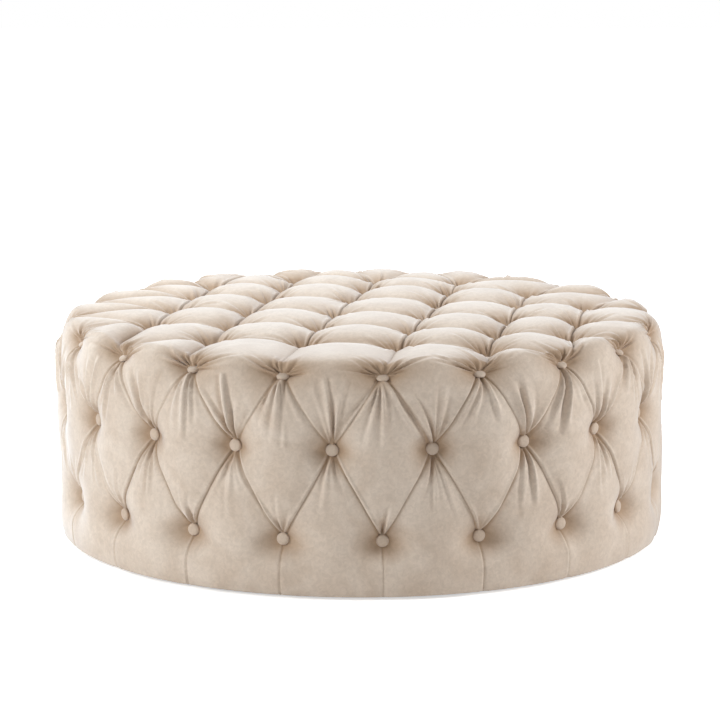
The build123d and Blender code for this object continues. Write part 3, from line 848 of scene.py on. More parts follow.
@dataclass
class VelvetCover:
    """The tufted velvet, meshed puff by puff with its pleats as sharp lines.

    Each vertex has a row of five values: its angle from the front, its length along the form's profile,
    how deep the pad's own shape lies below the form there, how far it is from the nearest pleat, and how
    much deeper the pleat's fine line, less its lip, takes it.
    """

    plan: TuftingPlan
    fine: float = 0.0021
    wide: float = 0.0037
    slack: float = 0.0
    button_zone: float = 0.042
    pleat_zone: float = 0.0055
    seat_radius: float = 0.0120
    edge_puff_drop: float = 0.004
    reach: float = 0.066
    hollow_radius: float = 0.5453
    hollow_level: float = 0.3848
    seed: int = 11
    chance: random.Random = field(init=False)
    pleats: Dict[frozenset, Pleat] = field(default_factory=dict)
    rows: List[np.ndarray] = field(default_factory=list)
    faces: List[np.ndarray] = field(default_factory=list)
    corners: Dict[TuftKey, int] = field(default_factory=dict)
    count: int = 0

    FANS: ClassVar[Dict[Row, Tuple[Fan, ...]]] = {
        Row.RIM: (Fan(-90, 29, 6, 0.155, 0.0108, 0.0066), Fan(90, 84, 14, 0.104, 0.0070)),
        Row.MIDDLE: (Fan(90, 24, 5, 0.160, 0.0104, 0.0064), Fan(-90, 22, 5, 0.130, 0.0084)),
        Row.LOW: (Fan(90, 24, 4, 0.100, 0.0066),),
        Row.TOP: (Fan(0, 180, 20, 0.080, 0.0062),),
        Row.EDGE: (),
    }
    # How wide the hollow round a button is, by its row and the plan of the puff that it lies in.
    FUNNEL: ClassVar[Dict[Tuple[Row, Chart], float]] = {
        (Row.RIM, Chart.TOP): 0.070,
        (Row.RIM, Chart.WALL): 0.026,
        (Row.MIDDLE, Chart.TOP): 0.028,
        (Row.MIDDLE, Chart.WALL): 0.038,
        (Row.LOW, Chart.WALL): 0.036,
        (Row.TOP, Chart.TOP): 0.036,
    }
    FUNNEL_START_SHARE: ClassVar[float] = 0.6
    FUNNEL_POWER: ClassVar[float] = 1.3
    # How high the folded edge of a pleat stands, by the rows that it joins.
    LIP: ClassVar[Dict[frozenset, float]] = {
        frozenset((Row.RIM, Row.MIDDLE)): 0.0009,
        frozenset((Row.MIDDLE, Row.LOW)): 0.0022,
        frozenset((Row.LOW, Row.EDGE)): 0.0009,
        frozenset((Row.RIM, Row.TOP)): 0.0018,
        frozenset((Row.TOP,)): 0.0022,
    }
    LIP_OFFSET: ClassVar[float] = 0.0036
    LIP_WIDTH: ClassVar[float] = 0.0024
    LAP_SHARES: ClassVar[Span] = (0.6, 1.3)
    # How deep a pleat lies halfway, and how deep its fine line cuts, by the rows that it joins.
    PLEAT_DEPTH: ClassVar[Dict[frozenset, Tuple[float, float]]] = {
        frozenset((Row.RIM, Row.MIDDLE)): (0.0085, 0.0022),
        frozenset((Row.MIDDLE, Row.LOW)): (0.0095, 0.0026),
        frozenset((Row.LOW, Row.EDGE)): (0.0050, 0.0014),
        frozenset((Row.EDGE,)): (0.0040, 0.0),
        frozenset((Row.RIM, Row.TOP)): (0.0240, 0.0006),
        frozenset((Row.TOP,)): (0.0218, 0.0006),
    }
    DEPTH_SHARES: ClassVar[Span] = (0.8, 1.2)
    LINE_SHARES: ClassVar[Span] = (0.6, 1.3)
    LINE_WIDTH: ClassVar[float] = 0.0019
    LEAST_STEPS: ClassVar[int] = 4
    MOST_BOW: ClassVar[float] = 0.0035
    MOST_REACH_SHARE: ClassVar[float] = 0.56
    DIP_POWER: ClassVar[float] = 1.9
    HEM_DIP: ClassVar[float] = 0.0062
    HEM_DIP_REACH: ClassVar[float] = 0.05
    # How full a puff is: how fast it rises from its pleats, and how flat its crown is.
    SWELL: ClassVar[Dict[Chart, Tuple[float, float]]] = {Chart.WALL: (2.2, 0.92), Chart.TOP: (2.0, 0.90)}
    NEARNESS_POWER: ClassVar[float] = 2.4
    WEIGHT_POWER: ClassVar[float] = 2.0
    LEAST_GAP: ClassVar[float] = 1e-5
    CROWN_STRAY: ClassVar[Span] = (-0.0015, 0.0025)
    GRID_GAP_SHARE: ClassVar[float] = 0.62
    FOLD_REACH: ClassVar[float] = 0.135
    FOLD_CLEARANCE: ClassVar[float] = 0.0042
    # A slight unevenness: how many waves, their lengths, how high they are for their length, and how far
    # from a pleat they are whole.
    RIPPLES: ClassVar[int] = 26
    RIPPLE_LENGTHS: ClassVar[Span] = (0.045, 0.16)
    RIPPLE_SHARE: ClassVar[float] = 0.0011
    RIPPLE_CLEARANCE: ClassVar[float] = 0.02
    # How much painted shade darkens the velvet round a button, as extra depth, and how far that spreads.
    BUTTON_SHADE: ClassVar[Dict[Row, Tuple[float, float]]] = {
        Row.RIM: (0.012, 0.050), Row.TOP: (0.011, 0.046), Row.MIDDLE: (0.006, 0.032), Row.LOW: (0.001, 0.030),
    }
    # Below a rim button it fades to a share of that over this height.
    BUTTON_SHADE_FADE: ClassVar[float] = 0.016
    BUTTON_SHADE_BELOW_SHARE: ClassVar[float] = 0.3
    # Painted shade along a pleat's fine line: how many times the line's depth it adds to the velvet's
    # darkening.
    LINE_SHADE: ClassVar[float] = 5.0

    def __post_init__(self) -> None:
        """Gives each button its gathers."""
        self.chance = random.Random(self.seed)
        for tuft in self.plan.tufts.values():
            tuft.folds = [fold for fan in self.FANS[tuft.row] for fold in fan.folds(self.chance)]

    def pleat_between(self, a: TuftKey, b: TuftKey) -> Pleat:
        """The pleat between two tufts, made once and shared by the puffs on its two sides."""
        name = frozenset((a, b))
        if name in self.pleats:
            return self.pleats[name]
        first, last = self.plan.tufts[a], self.plan.tufts[b]
        if Row.TOP in (first.row, last.row):
            angle, run, length = self.straight_over_top(first, last)
        else:
            angle, run, length = self.straight_over_wall(first, last)
        middle, line = self.PLEAT_DEPTH[frozenset((first.row, last.row))]
        middle *= self.chance.uniform(*self.DEPTH_SHARES)
        line *= self.chance.uniform(*self.LINE_SHARES)
        share = np.linspace(0, 1, len(run))
        depth = np.full(len(run), middle)
        for tuft, far in ((first, share * length), (last, (1 - share) * length)):
            if tuft.row is Row.EDGE:
                dip = self.HEM_DIP * np.clip(1 - far / self.HEM_DIP_REACH, 0, 1) ** 2
                depth = np.maximum(depth, dip)
                continue
            reach = min(self.reach, length * self.MOST_REACH_SHARE)
            near = np.clip(1 - (far - self.seat_radius) / (reach - self.seat_radius), 0, 1)
            depth = np.maximum(depth, middle + (tuft.depth - middle) * near**self.DIP_POWER)
        pleat = Pleat((a, b), angle, run, depth, line, self.chance.uniform(*self.LAP_SHARES))
        self.pleats[name] = pleat
        return pleat

    def shares(self, length: float) -> np.ndarray:
        """The shares of a pleat's length at which its vertices lie."""
        return np.linspace(0, 1, max(self.LEAST_STEPS, round(length / self.fine)) + 1)

    def straight_over_top(self, first: Tuft, last: Tuft) -> Tuple[np.ndarray, np.ndarray, float]:
        """The angles, runs and length of a pleat that is straight in the top's flat plan."""
        start, stop = FlatPlan(Chart.TOP, 0.0, self.plan.form.radius).lay_tufts([first, last])
        length = float(np.hypot(*(stop - start)))
        points = start + (stop - start) * self.shares(length)[:, None]
        return np.arctan2(points[:, 0], -points[:, 1]), np.hypot(points[:, 0], points[:, 1]), length

    def straight_over_wall(self, first: Tuft, last: Tuft) -> Tuple[np.ndarray, np.ndarray, float]:
        """The angles, runs and length of a pleat on the wall, bowed a little if it joins two rows."""
        radius = self.plan.form.radius
        turn = turn_between(first.angle, last.angle)
        length = math.hypot(turn * radius, last.run - first.run)
        share = self.shares(length)
        angle = first.angle + turn * share
        if Row.EDGE not in (first.row, last.row) and first.row is not last.row:
            bow = self.chance.uniform(-self.MOST_BOW, self.MOST_BOW) * np.sin(math.pi * share)
            angle = angle + bow / radius
        return angle, first.run + (last.run - first.run) * share, length

    def add(self, *columns: np.ndarray) -> np.ndarray:
        """Adds vertices to the cover.

        Args:
            columns: the five values of their rows, each for all of them.

        Returns:
            Their numbers.
        """
        rows = np.column_stack(columns)
        self.rows.append(rows)
        self.count += len(rows)
        return np.arange(self.count - len(rows), self.count)

    def corner(self, key: TuftKey) -> int:
        """The vertex at a tuft."""
        if key not in self.corners:
            tuft = self.plan.tufts[key]
            self.corners[key] = int(self.add([tuft.angle], [tuft.run], [tuft.depth], [0], [0])[0])
        return self.corners[key]

    def number(self, pleat: Pleat) -> List[int]:
        """The vertices along a pleat, from its first tuft to its last."""
        if not pleat.ids:
            level = np.zeros(len(pleat.angle) - 2)
            inner = self.add(pleat.angle[1:-1], pleat.run[1:-1], pleat.depth[1:-1], level, level + pleat.line)
            pleat.ids = [self.corner(pleat.ends[0]), *inner.tolist(), self.corner(pleat.ends[1])]
        return pleat.ids

    def mesh_puff(self, chart: Chart, keys: List[TuftKey]) -> None:
        """Meshes one puff between its pleats and swells it.

        Args:
            chart: the flat plan that it is meshed in.
            keys: its tufts, in order round it.
        """
        tufts = [self.plan.tufts[k] for k in keys]
        flat = FlatPlan.about(chart, tufts, self.plan.form.radius)
        ring, numbers, sides = self.outline(flat, keys)
        grid = self.scatter(ring, flat.lay_tufts([t for t in tufts if t.row is not Row.EDGE]))
        inner = self.add(*flat.lift(grid), *self.swell(flat, tufts, grid, sides))
        self.faces.append(np.concatenate([numbers, inner])[fill(ring, grid)])

    def outline(self, flat: FlatPlan, keys: List[TuftKey]) -> Tuple[np.ndarray, List[int], List[Side]]:
        """Lays out the edge of a puff.

        Args:
            flat: the puff's flat plan.
            keys: its tufts, in order round it.

        Returns:
            The outline, the numbers of its vertices, and the pleats that the puff is drawn down to.
        """
        centre = flat.lay_tufts([self.plan.tufts[k] for k in keys]).mean(axis=0)
        ring, numbers, sides = [], [], []
        for a, b in zip(keys, keys[1:] + keys[:1]):
            pleat = self.pleat_between(a, b)
            ids = self.number(pleat)
            path = flat.lay(pleat.angle, pleat.run)
            if {self.plan.tufts[a].row, self.plan.tufts[b].row} != {Row.EDGE}:
                lip = self.lip_on(pleat, flat.chart, path, centre)
                sides.append(Side(path, pleat.depth, pleat.line, lip))
            if pleat.ends[0] != a:
                path, ids = path[::-1], ids[::-1]
            ring.append(path[:-1])
            numbers += ids[:-1]
        return np.vstack(ring), numbers, sides

    def lip_on(self, pleat: Pleat, chart: Chart, path: np.ndarray, centre: np.ndarray) -> float:
        """How high the folded edge of a pleat stands on one puff beside it.

        The puff above a pleat on the wall laps the one below, and on the top the one further back.

        Args:
            pleat: the pleat.
            chart: the kind of the puff's flat plan.
            path: the pleat's points in it.
            centre: the puff's middle in it.

        Returns:
            The height, which is nothing on the puff that is lapped.
        """
        rows = frozenset(self.plan.tufts[k].row for k in pleat.ends)
        middle = path[len(path) // 2]
        if rows == {Row.LOW, Row.EDGE}:
            lapping = centre[0] < middle[0]
        elif rows == {Row.RIM, Row.MIDDLE}:
            lapping = chart is Chart.TOP
        else:
            lapping = centre[1] > middle[1]
        return self.LIP.get(rows, 0.0) * pleat.lap if lapping else 0.0

    def scatter(self, ring: np.ndarray, spots: np.ndarray) -> np.ndarray:
        """Points inside a puff's outline, close together by its pleats and buttons and wider apart between.

        Args:
            ring: the outline.
            spots: where its buttons are.

        Returns:
            The points, one row each.
        """
        kept = []
        low, high = ring.min(axis=0), ring.max(axis=0)
        for step, by_edge in ((self.fine, True), (self.wide, False)):
            xs = np.arange(low[0], high[0], step)
            ys = np.arange(low[1], high[1], step * math.sqrt(3) / 2)
            x, y = np.meshgrid(xs, ys)
            x[1::2] += step / 2
            grid = np.column_stack([x.ravel(), y.ravel()])
            grid = grid[inside(grid, ring)]
            gap = np.sqrt(((grid[:, None] - ring[None]) ** 2).sum(-1).min(axis=1))
            far = np.sqrt(((grid[:, None] - spots[None]) ** 2).sum(-1).min(axis=1))
            close = (gap < self.pleat_zone) | (far < self.button_zone)
            clear = self.fine * self.GRID_GAP_SHARE if by_edge else 0.0
            kept.append(grid[(gap > clear) & (close if by_edge else ~close)])
        return np.vstack(kept)

    def swell(
        self, flat: FlatPlan, tufts: List[Tuft], points: np.ndarray, sides: List[Side],
    ) -> Tuple[np.ndarray, np.ndarray, np.ndarray]:
        """How deep each point of a puff lies below the drum's form.

        Args:
            flat: the puff's flat plan.
            tufts: the puff's tufts.
            points: the flat points.
            sides: the puff's pleats.

        Returns:
            The depths, how far each point is from the nearest pleat, and the pleats' lines less their lips.
        """
        inverse, weighted, weights, line, lip = np.zeros((5, len(points)))
        clear = np.full(len(points), np.inf)
        for side in sides:
            gap, value = nearest(points, side.path, side.depth)
            gap = np.maximum(gap, self.LEAST_GAP)
            inverse += gap**-self.NEARNESS_POWER
            weighted += value * gap**-self.WEIGHT_POWER
            weights += gap**-self.WEIGHT_POWER
            clear = np.minimum(clear, gap)
            line = np.maximum(line, side.line * np.exp(-gap / self.LINE_WIDTH))
            lip = np.maximum(lip, side.lip * np.exp(-(((gap - self.LIP_OFFSET) / self.LIP_WIDTH) ** 2)))
        soft = inverse ** (-1 / self.NEARNESS_POWER)
        fall, steep = self.SWELL[flat.chart]
        rise = (1 - (1 - soft / soft.max()) ** fall) ** steep
        at_rim = flat.chart is Chart.TOP and any(t.row is Row.RIM for t in tufts)
        crown = (self.edge_puff_drop if at_rim else 0.0) + self.slack + self.chance.uniform(*self.CROWN_STRAY)
        rise = rise * self.funnels(flat, tufts, points)
        rise /= rise.max()
        return weighted / weights * (1 - rise) + crown * rise, clear, line - lip

    def funnels(self, flat: FlatPlan, tufts: List[Tuft], points: np.ndarray) -> np.ndarray:
        """How far the hollows round a puff's buttons let each of its points rise.

        Args:
            flat: the puff's flat plan.
            tufts: the puff's tufts.
            points: the flat points.

        Returns:
            Shares from 0, at a button, to 1, clear of them all.
        """
        free = np.ones(len(points))
        start = self.seat_radius * self.FUNNEL_START_SHARE
        for tuft in tufts:
            if tuft.row is Row.EDGE:
                continue
            far = np.linalg.norm(points - flat.lay_tufts([tuft]), axis=1)
            width = self.FUNNEL[tuft.row, flat.chart]
            free *= 1 - np.exp(-((np.maximum(far - start, 0) / width) ** self.FUNNEL_POWER))
        return free

    def gather(self, angle: np.ndarray, run: np.ndarray, clear: np.ndarray) -> np.ndarray:
        """How far the gathers round the buttons raise each vertex."""
        height = np.zeros(len(angle))
        for tuft in self.plan.tufts.values():
            if tuft.row is Row.TOP:
                x = run * np.sin(angle) - tuft.run * math.sin(tuft.angle)
                y = -run * np.cos(angle) + tuft.run * math.cos(tuft.angle)
            else:
                x, y = turn_between(tuft.angle, angle) * self.plan.form.radius, tuft.run - run
            near = np.flatnonzero(x**2 + y**2 < self.FOLD_REACH**2)
            far = np.hypot(x[near], y[near])
            bearing = np.arctan2(y[near], x[near])
            for fold in tuft.folds:
                height[near] += fold.rise(far, bearing)
        return height * (1 - np.exp(-((clear / self.FOLD_CLEARANCE) ** 2)))

    def ripple(self, angle: np.ndarray, run: np.ndarray) -> np.ndarray:
        """A slight unevenness over the whole cover."""
        total = np.zeros(len(angle))
        points, _ = self.plan.form.place(angle, run)
        for _ in range(self.RIPPLES):
            way = np.array([self.chance.gauss(0, 1) for _ in range(3)])
            way /= np.linalg.norm(way)
            wave = self.chance.uniform(*self.RIPPLE_LENGTHS)
            phase = self.chance.uniform(0, 2 * math.pi)
            total += np.sin(points @ way * 2 * math.pi / wave + phase) * wave
        return total * self.RIPPLE_SHARE

    def pile_crush_and_painted_shade(self, points: np.ndarray) -> np.ndarray:
        """How much painted shade darkens the velvet round the buttons, as extra depth."""
        total = np.zeros(len(points))
        for tuft in self.plan.tufts.values():
            if tuft.row is Row.EDGE:
                continue
            depth, width = self.BUTTON_SHADE[tuft.row]
            far = np.linalg.norm(points - tuft.point, axis=1)
            near = depth * np.exp(-((far / width) ** 2))
            # Above a rim button the painted shade is whole; below it, it fades.
            if tuft.row is Row.RIM:
                above = (points[:, 2] - tuft.point[2]) / self.BUTTON_SHADE_FADE
                near *= np.clip(above + 0.5, self.BUTTON_SHADE_BELOW_SHARE, 1)
            total = np.maximum(total, near)
        return total

    def lay_out(self) -> Tuple[np.ndarray, np.ndarray]:
        """Meshes every puff.

        Returns:
            The five values of the vertices, each for all of them, and the triangles.
        """
        for chart, keys in self.plan.puffs:
            self.mesh_puff(chart, keys)
        return np.vstack(self.rows).T, np.vstack(self.faces)

    def blown_up(self, angle: np.ndarray, run: np.ndarray) -> np.ndarray:
        """How pressure moves the cover's points, from a simulation of a coarser copy of it.

        Args:
            angle: the points' angles from the front.
            run: their lengths along the form's profile.

        Returns:
            The movements, one row each.
        """
        blank = VelvetCover(self.plan, Inflation.SPACING, Inflation.SPACING, self.slack, seed=self.seed)
        (blank_angle, blank_run, depth, clear, _), faces = blank.lay_out()
        there, out = self.plan.form.place(blank_angle, blank_run)
        moved = Inflation().run(there - out * depth[:, None], faces, np.flatnonzero(clear <= 0))
        tree = BVHTree.FromPolygons(there.tolist(), faces.tolist())
        here, _ = self.plan.form.place(angle, run)
        found = [tree.find_nearest(point) for point in here.tolist()]
        spot = np.array([f[0] for f in found])
        corners = faces[[f[2] for f in found]]
        a, b, c = (there[corners[:, k]] for k in range(3))
        area = np.linalg.norm(np.cross(b - a, c - a), axis=1)
        share_a = np.linalg.norm(np.cross(b - spot, c - spot), axis=1) / area
        share_b = np.linalg.norm(np.cross(c - spot, a - spot), axis=1) / area
        shares = np.column_stack([share_a, share_b, np.maximum(1 - share_a - share_b, 0)])
        return (moved[corners] * shares[..., None]).sum(axis=1)

    def build(self, finish: bpy.types.Material) -> bpy.types.Object:
        """Makes the cover as one closed piece.

        Args:
            finish: its velvet.

        Returns:
            The cover.
        """
        (angle, run, depth, clear, trim), faces = self.lay_out()
        raise_by = self.gather(angle, run, clear)
        raise_by += self.ripple(angle, run) * np.minimum(clear / self.RIPPLE_CLEARANCE, 1)
        raise_by -= trim
        form, normals = self.plan.form.place(angle, run)
        points = form - normals * depth[:, None]
        points += self.blown_up(angle, run)
        points += normals * raise_by[:, None]
        # Painted shade: the velvet is darkened by how deep it lies below the form, more along the pleats'
        # fine lines and round the buttons.
        painted_shade = ((form - points) * normals).sum(axis=1) + self.LINE_SHADE * trim + self.pile_crush_and_painted_shade(points)
        mesh = bpy.data.meshes.new("velvet_cover")
        mesh.from_pydata(points.tolist(), [], faces.tolist())
        mesh.update()
        mark_painted_shade(mesh, painted_shade.clip(0))
        mesh.polygons.foreach_set("use_smooth", np.ones(len(mesh.polygons), dtype=bool))
        cover = bpy.data.objects.new("velvet_cover", mesh)
        bpy.context.collection.objects.link(cover)
        mesh.materials.append(finish)
        self.close_inside(mesh)
        LOG.info("cover: %d vertices, %d faces", len(mesh.vertices), len(mesh.polygons))
        return cover

    def close_inside(self, mesh: bpy.types.Mesh) -> None:
        """Turns the bottom edge in and lines the hollow over the padded drum."""
        made = bmesh.new()
        made.from_mesh(mesh)
        rim = [e for e in made.edges if e.is_boundary]
        for level in (self.plan.form.bottom, self.hollow_level):
            ring = bmesh.ops.extrude_edge_only(made, edges=rim)["geom"]
            rim = [g for g in ring if isinstance(g, bmesh.types.BMEdge)]
            for vertex in {v for e in rim for v in e.verts}:
                flat = Vector((vertex.co.x, vertex.co.y, 0)).normalized() * self.hollow_radius
                vertex.co = (flat.x, flat.y, level)
        bmesh.ops.contextual_create(made, geom=rim)
        made.normal_update()
        made.to_mesh(mesh)
        made.free()


# Covered buttons


@dataclass
class CoveredButtons:
    """The velvet-covered buttons of one row.

    A button faces along its tuft's normal, tilted up by its row's lift, and its row's sink sets it deeper.
    """

    plan: TuftingPlan
    row: Row
    name: str
    lift: float
    sink: float
    radius: float = 0.0116
    thickness: float = 0.0078
    overlap: float = 0.0008
    # Painted shade: the depth that darkens the buttons' velvet, as if they sat in the shade of their hollows.
    button_shade_depth: float = 0.0145

    SIDES: ClassVar[int] = 24
    BACK_SHARE: ClassVar[float] = 0.90
    # The cap's outline from its back to its crown: rises as shares of the thickness, and how much each
    # step widens or narrows it.
    STEPS: ClassVar[Tuple[Span, ...]] = (
        (0.14, 1.11), (0.32, 1.0), (0.21, 0.94), (0.16, 0.80), (0.11, 0.64), (0.05, 0.50),
    )
    CROWN_SHARE: ClassVar[float] = 0.03
    MOST_LEAN: ClassVar[float] = 0.10
    MOST_SPIN: ClassVar[float] = 6.28

    def pattern(self) -> bpy.types.Object:
        """One button, its back on the ground: a soft-edged cap with a slightly flattened crown."""
        bpy.ops.object.select_all(action="DESELECT")
        bpy.ops.mesh.primitive_circle_add(
            vertices=self.SIDES, radius=self.radius * self.BACK_SHARE, fill_type="NGON",
        )
        button = bpy.context.object
        bpy.ops.object.mode_set(mode="EDIT")
        bpy.ops.mesh.select_all(action="SELECT")
        for rise, grow in self.STEPS:
            bpy.ops.mesh.extrude_region_move(TRANSFORM_OT_translate={"value": (0, 0, rise * self.thickness)})
            bpy.ops.transform.resize(value=(grow, grow, 1), center_override=(0, 0, 0))
        bpy.ops.transform.translate(value=(0, 0, -self.CROWN_SHARE * self.thickness))
        bpy.ops.mesh.poke()
        bpy.ops.object.mode_set(mode="OBJECT")
        smooth = button.modifiers.new("round", "SUBSURF")
        smooth.levels = smooth.render_levels = 1
        bpy.ops.object.modifier_apply(modifier="round")
        bpy.ops.object.shade_smooth()
        return button

    def seat(self, tuft: Tuft, chance: random.Random) -> Matrix:
        """Where one button sits, and which way it faces."""
        lean = Vector([chance.uniform(-self.MOST_LEAN, self.MOST_LEAN) for _ in range(3)])
        facing = (Vector(tuft.normal) + lean + Vector((0, 0, self.lift))).normalized()
        turn = facing.to_track_quat("Z", "Y").to_matrix().to_4x4()
        spin = Matrix.Rotation(chance.uniform(0, self.MOST_SPIN), 4, "Z")
        place = Vector(tuft.point) - Vector(tuft.normal) * self.overlap - facing * self.sink
        return Matrix.Translation(place) @ turn @ spin

    def build(self, finish: bpy.types.Material) -> bpy.types.Object:
        """Copies the button to each tuft of the row and joins the copies.

        Args:
            finish: its velvet.

        Returns:
            The row of buttons.
        """
        chance = random.Random(len(self.name))
        pattern = self.pattern()
        copies = []
        for tuft in self.plan.tufts.values():
            if tuft.row is not self.row:
                continue
            copy = pattern.copy()
            copy.data = pattern.data.copy()
            bpy.context.collection.objects.link(copy)
            copy.data.transform(self.seat(tuft, chance))
            copies.append(copy)
        bpy.data.objects.remove(pattern)
        bpy.ops.object.select_all(action="DESELECT")
        for copy in copies:
            copy.select_set(True)
        bpy.context.view_layer.objects.active = copies[0]
        bpy.ops.object.join()
        row = bpy.context.object
        row.name = row.data.name = self.name
        row.data.materials.clear()
        row.data.materials.append(finish)
        # Painted shade: every button gets the same darker velvet.
        mark_painted_shade(row.data, np.full(len(row.data.vertices), self.button_shade_depth))
        LOG.info("%s: %d buttons", self.name, len(copies))
        return row


# The room


@dataclass(frozen=True)
class Lamp:
    """One large soft lamp, by its place, what it is turned to, its side, its power and its colour."""

    name: str
    place: Tuple[float, float, float]
    target: Tuple[float, float, float]
    size: float
    power: float
    colour: Colour

    def build(self) -> None:
        """Hangs the lamp."""
        light = bpy.data.lights.new(self.name, "AREA")
        light.size, light.energy, light.color = self.size, self.power, self.colour
        lamp = bpy.data.objects.new(self.name, light)
        bpy.context.collection.objects.link(lamp)
        lamp.location = self.place
        lamp.rotation_euler = (Vector(self.target) - Vector(self.place)).to_track_quat("-Z", "Y").to_euler()


LAMPS = (
    Lamp("overhead", (-1.5, 1.2, 2.3), (0, 0, 0.4), 1.5, 70, (0.80, 0.905, 1.0)),
    Lamp("left", (-3.0, -1.6, 1.7), (0, -0.3, 0.25), 1.4, 60, (0.93, 0.97, 1.0)),
    Lamp("right", (3.0, -0.4, 1.7), (0, 0, 0.3), 1.4, 62, (0.95, 0.975, 1.0)),
)


@dataclass
class Studio:
    """A pale floor, a white surround, soft lamps and the camera, where the photograph was taken from."""

    lens: float = 129.15
    sensor: float = 36.0
    shift: Span = (-0.001, 0.0833)
    distance: float = 5.111
    aim_height: float = 0.20825
    elevation: float = 11.39
    floor_size: float = 40.0
    floor_colour: Colour = (0.93, 0.93, 0.93)
    glow_reach: Span = (0.8, 3.0)
    glow_strength: Span = (0.55, 1.0)
    world_seen: float = 1.0
    world_lit: float = 0.37

    def build(self) -> None:
        """Makes the floor, the lamps, the world and the camera."""
        bpy.context.scene.view_settings.view_transform = "Standard"
        self.floor()
        self.world()
        for lamp in LAMPS:
            lamp.build()
        self.camera()

    def floor(self) -> None:
        """The floor that the footstool stands on, which glows white to the camera away from it."""
        bpy.ops.object.select_all(action="DESELECT")
        bpy.ops.mesh.primitive_plane_add(size=self.floor_size, location=(0, 0, 0))
        floor = bpy.context.object
        floor.name = "floor"
        bench = NodeBench("pale_floor")
        bench.constant(Roughness=0.9, Specular_IOR_Level=0.1)
        bench.constant(Base_Color=(*self.floor_colour, 1), Emission_Color=(1, 1, 1, 1))
        far = bench.tree.nodes.new("ShaderNodeVectorMath")
        far.operation = "LENGTH"
        bench.link(bench.coordinates(), far.inputs[0])
        glow = bench.tree.nodes.new("ShaderNodeMath")
        glow.operation = "MULTIPLY"
        path = bench.tree.nodes.new("ShaderNodeLightPath")
        bench.link(path.outputs["Is Camera Ray"], glow.inputs[0])
        bench.link(bench.span(far.outputs["Value"], self.glow_reach, self.glow_strength), glow.inputs[1])
        bench.link(glow.outputs[0], bench.shader.inputs["Emission Strength"])
        floor.data.materials.append(bench.material)

    def world(self) -> None:
        """A white surround to the camera, and a gentler one to everything it lights."""
        world = bpy.data.worlds.new("surround")
        bpy.context.scene.world = world
        world.use_nodes = True
        tree = world.node_tree
        tree.nodes.clear()
        output = tree.nodes.new("ShaderNodeOutputWorld")
        mix = tree.nodes.new("ShaderNodeMixShader")
        path = tree.nodes.new("ShaderNodeLightPath")
        tree.links.new(path.outputs["Is Camera Ray"], mix.inputs[0])
        for strength, target in ((self.world_lit, mix.inputs[1]), (self.world_seen, mix.inputs[2])):
            background = tree.nodes.new("ShaderNodeBackground")
            background.inputs["Strength"].default_value = strength
            background.inputs["Color"].default_value = (1, 1, 1, 1)
            tree.links.new(background.outputs[0], target)
        tree.links.new(mix.outputs[0], output.inputs["Surface"])

    def camera(self) -> None:
        """The camera."""
        lens = bpy.data.cameras.new("view")
        lens.lens, lens.sensor_width = self.lens, self.sensor
        lens.shift_x, lens.shift_y = self.shift
        camera = bpy.data.objects.new("view", lens)
        bpy.context.collection.objects.link(camera)
        tilt = math.radians(self.elevation)
        back = self.distance * math.cos(tilt)
        camera.location = (0, -back, self.aim_height + self.distance * math.sin(tilt))
        camera.rotation_euler = (math.pi / 2 - tilt, 0, 0)
        bpy.context.scene.camera = camera


# The whole footstool


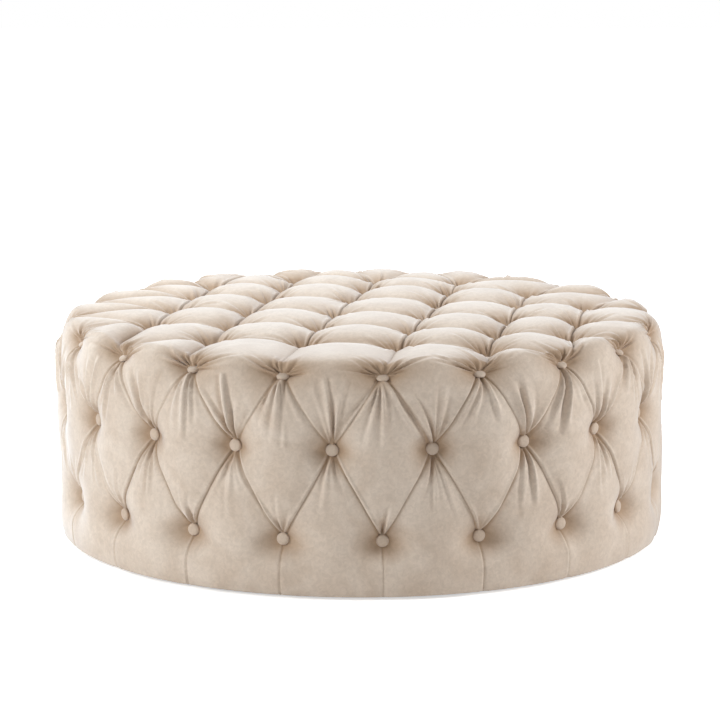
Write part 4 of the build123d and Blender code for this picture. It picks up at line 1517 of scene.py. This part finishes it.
FRAME_FINISHES = (
    (
        GrainFinish("raw_plywood", (0.60, 0.44, 0.27), (0.46, 0.31, 0.17)),
        ("deck_panel", "top_ring", "base_ring"),
    ),
    (
        GrainFinish("planed_pine", (0.68, 0.50, 0.29), (0.52, 0.35, 0.18), stretch=(14, 14, 2)),
        (
            "deck_rail_long", "deck_rail_cross", "centre_post", "wall_posts", "base_rail_long",
            "base_rail_cross",
        ),
    ),
    (
        GrainFinish("brown_hardboard", (0.22, 0.13, 0.07), (0.15, 0.085, 0.045), (30, 30, 30), 0.6),
        ("wall_board",),
    ),
    (
        FibreFinish("upholstery_foam", (0.80, 0.75, 0.56), (0.70, 0.65, 0.46), scale=260.0),
        ("top_foam_pad", "side_foam_wrap"),
    ),
    (
        FibreFinish("polyester_wadding", (0.86, 0.86, 0.84), (0.76, 0.76, 0.74), scale=90.0, depth=0.002),
        ("top_wadding", "side_wadding"),
    ),
    (
        FibreFinish("waxed_twine", (0.50, 0.42, 0.27), (0.38, 0.31, 0.19), 900.0, 0.0002, 0.6),
        ("side_twines", "rim_twines", "top_twines"),
    ),
    (
        FibreFinish("black_dust_cloth", (0.020, 0.020, 0.021), (0.008, 0.008, 0.009), 420.0, 0.0003, 0.95),
        ("dust_cover",),
    ),
    (
        SteelFinish("zinc_screws", (0.62, 0.57, 0.42), (0.48, 0.43, 0.30)),
        ("deck_screws", "base_screws", "rail_screws"),
    ),
    (
        SteelFinish("wire_staples", (0.62, 0.62, 0.62), (0.45, 0.45, 0.45)),
        ("hem_staples", "dust_cover_staples"),
    ),
    (
        SteelFinish("stamped_backs", (0.55, 0.55, 0.54), (0.42, 0.42, 0.41), roughness=0.45),
        ("button_backs",),
    ),
    (
        MouldedFinish("pressed_fibre", (0.11, 0.045, 0.025), (0.075, 0.030, 0.018), roughness=0.7),
        ("twine_washers",),
    ),
    (
        MouldedFinish("moulded_nylon", (0.022, 0.020, 0.018), (0.012, 0.011, 0.010)),
        ("glides",),
    ),
)


@dataclass
class Footstool:
    """The whole piece: the velvet, its buttons, and the finishes of the frame inside."""

    plan: TuftingPlan = field(default_factory=lambda: TuftingPlan(DrumForm()))
    quick_fine: float = 0.0060
    quick_wide: float = 0.0075
    rim_lift: float = 2.3
    rim_sink: float = 0.0038

    def build(self) -> None:
        velvet = VelvetFinish().build()
        cover = VelvetCover(self.plan, slack=Inflation.SLACK).build(velvet)
        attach(cover, "root")
        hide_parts("tufted_cover")
        rows = (
            (Row.LOW, "velvet_buttons_low", "low_row_buttons", 0.0, 0.0),
            (Row.MIDDLE, "velvet_buttons_middle", "mid_row_buttons", 0.0, 0.0),
            (Row.RIM, "velvet_buttons_rim", "rim_buttons", self.rim_lift, self.rim_sink),
            (Row.TOP, "velvet_buttons_top", "top_buttons", 0.0, 0.0),
        )
        for row, name, node, lift, sink in rows:
            buttons = CoveredButtons(self.plan, row, name, lift, sink).build(velvet)
            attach(buttons, "root")
            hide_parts(node)
        self.dress_frame(velvet)

    def dress_frame(self, velvet: bpy.types.Material) -> None:
        """Gives each CAD node that stays its finish.

        Args:
            velvet: the cover's velvet, which the turned hem is cut from.
        """
        self.dress("turned_hem", velvet)
        for finish, nodes in FRAME_FINISHES:
            material = finish.build()
            for node in nodes:
                self.dress(node, material)

    @staticmethod
    def dress(node: str, material: bpy.types.Material) -> None:
        """Puts one finish on one CAD node."""
        piece = frame["nodes"][node]
        piece.data.materials.clear()
        piece.data.materials.append(material)
        LOG.info("%s: %s", node, material.name)


def main() -> None:
    """Builds the footstool and the room round it."""
    logging.basicConfig(level=logging.INFO, format="%(name)s: %(message)s")
    Studio().build()
    Footstool().build()


if __name__ == "__main__":
    main()
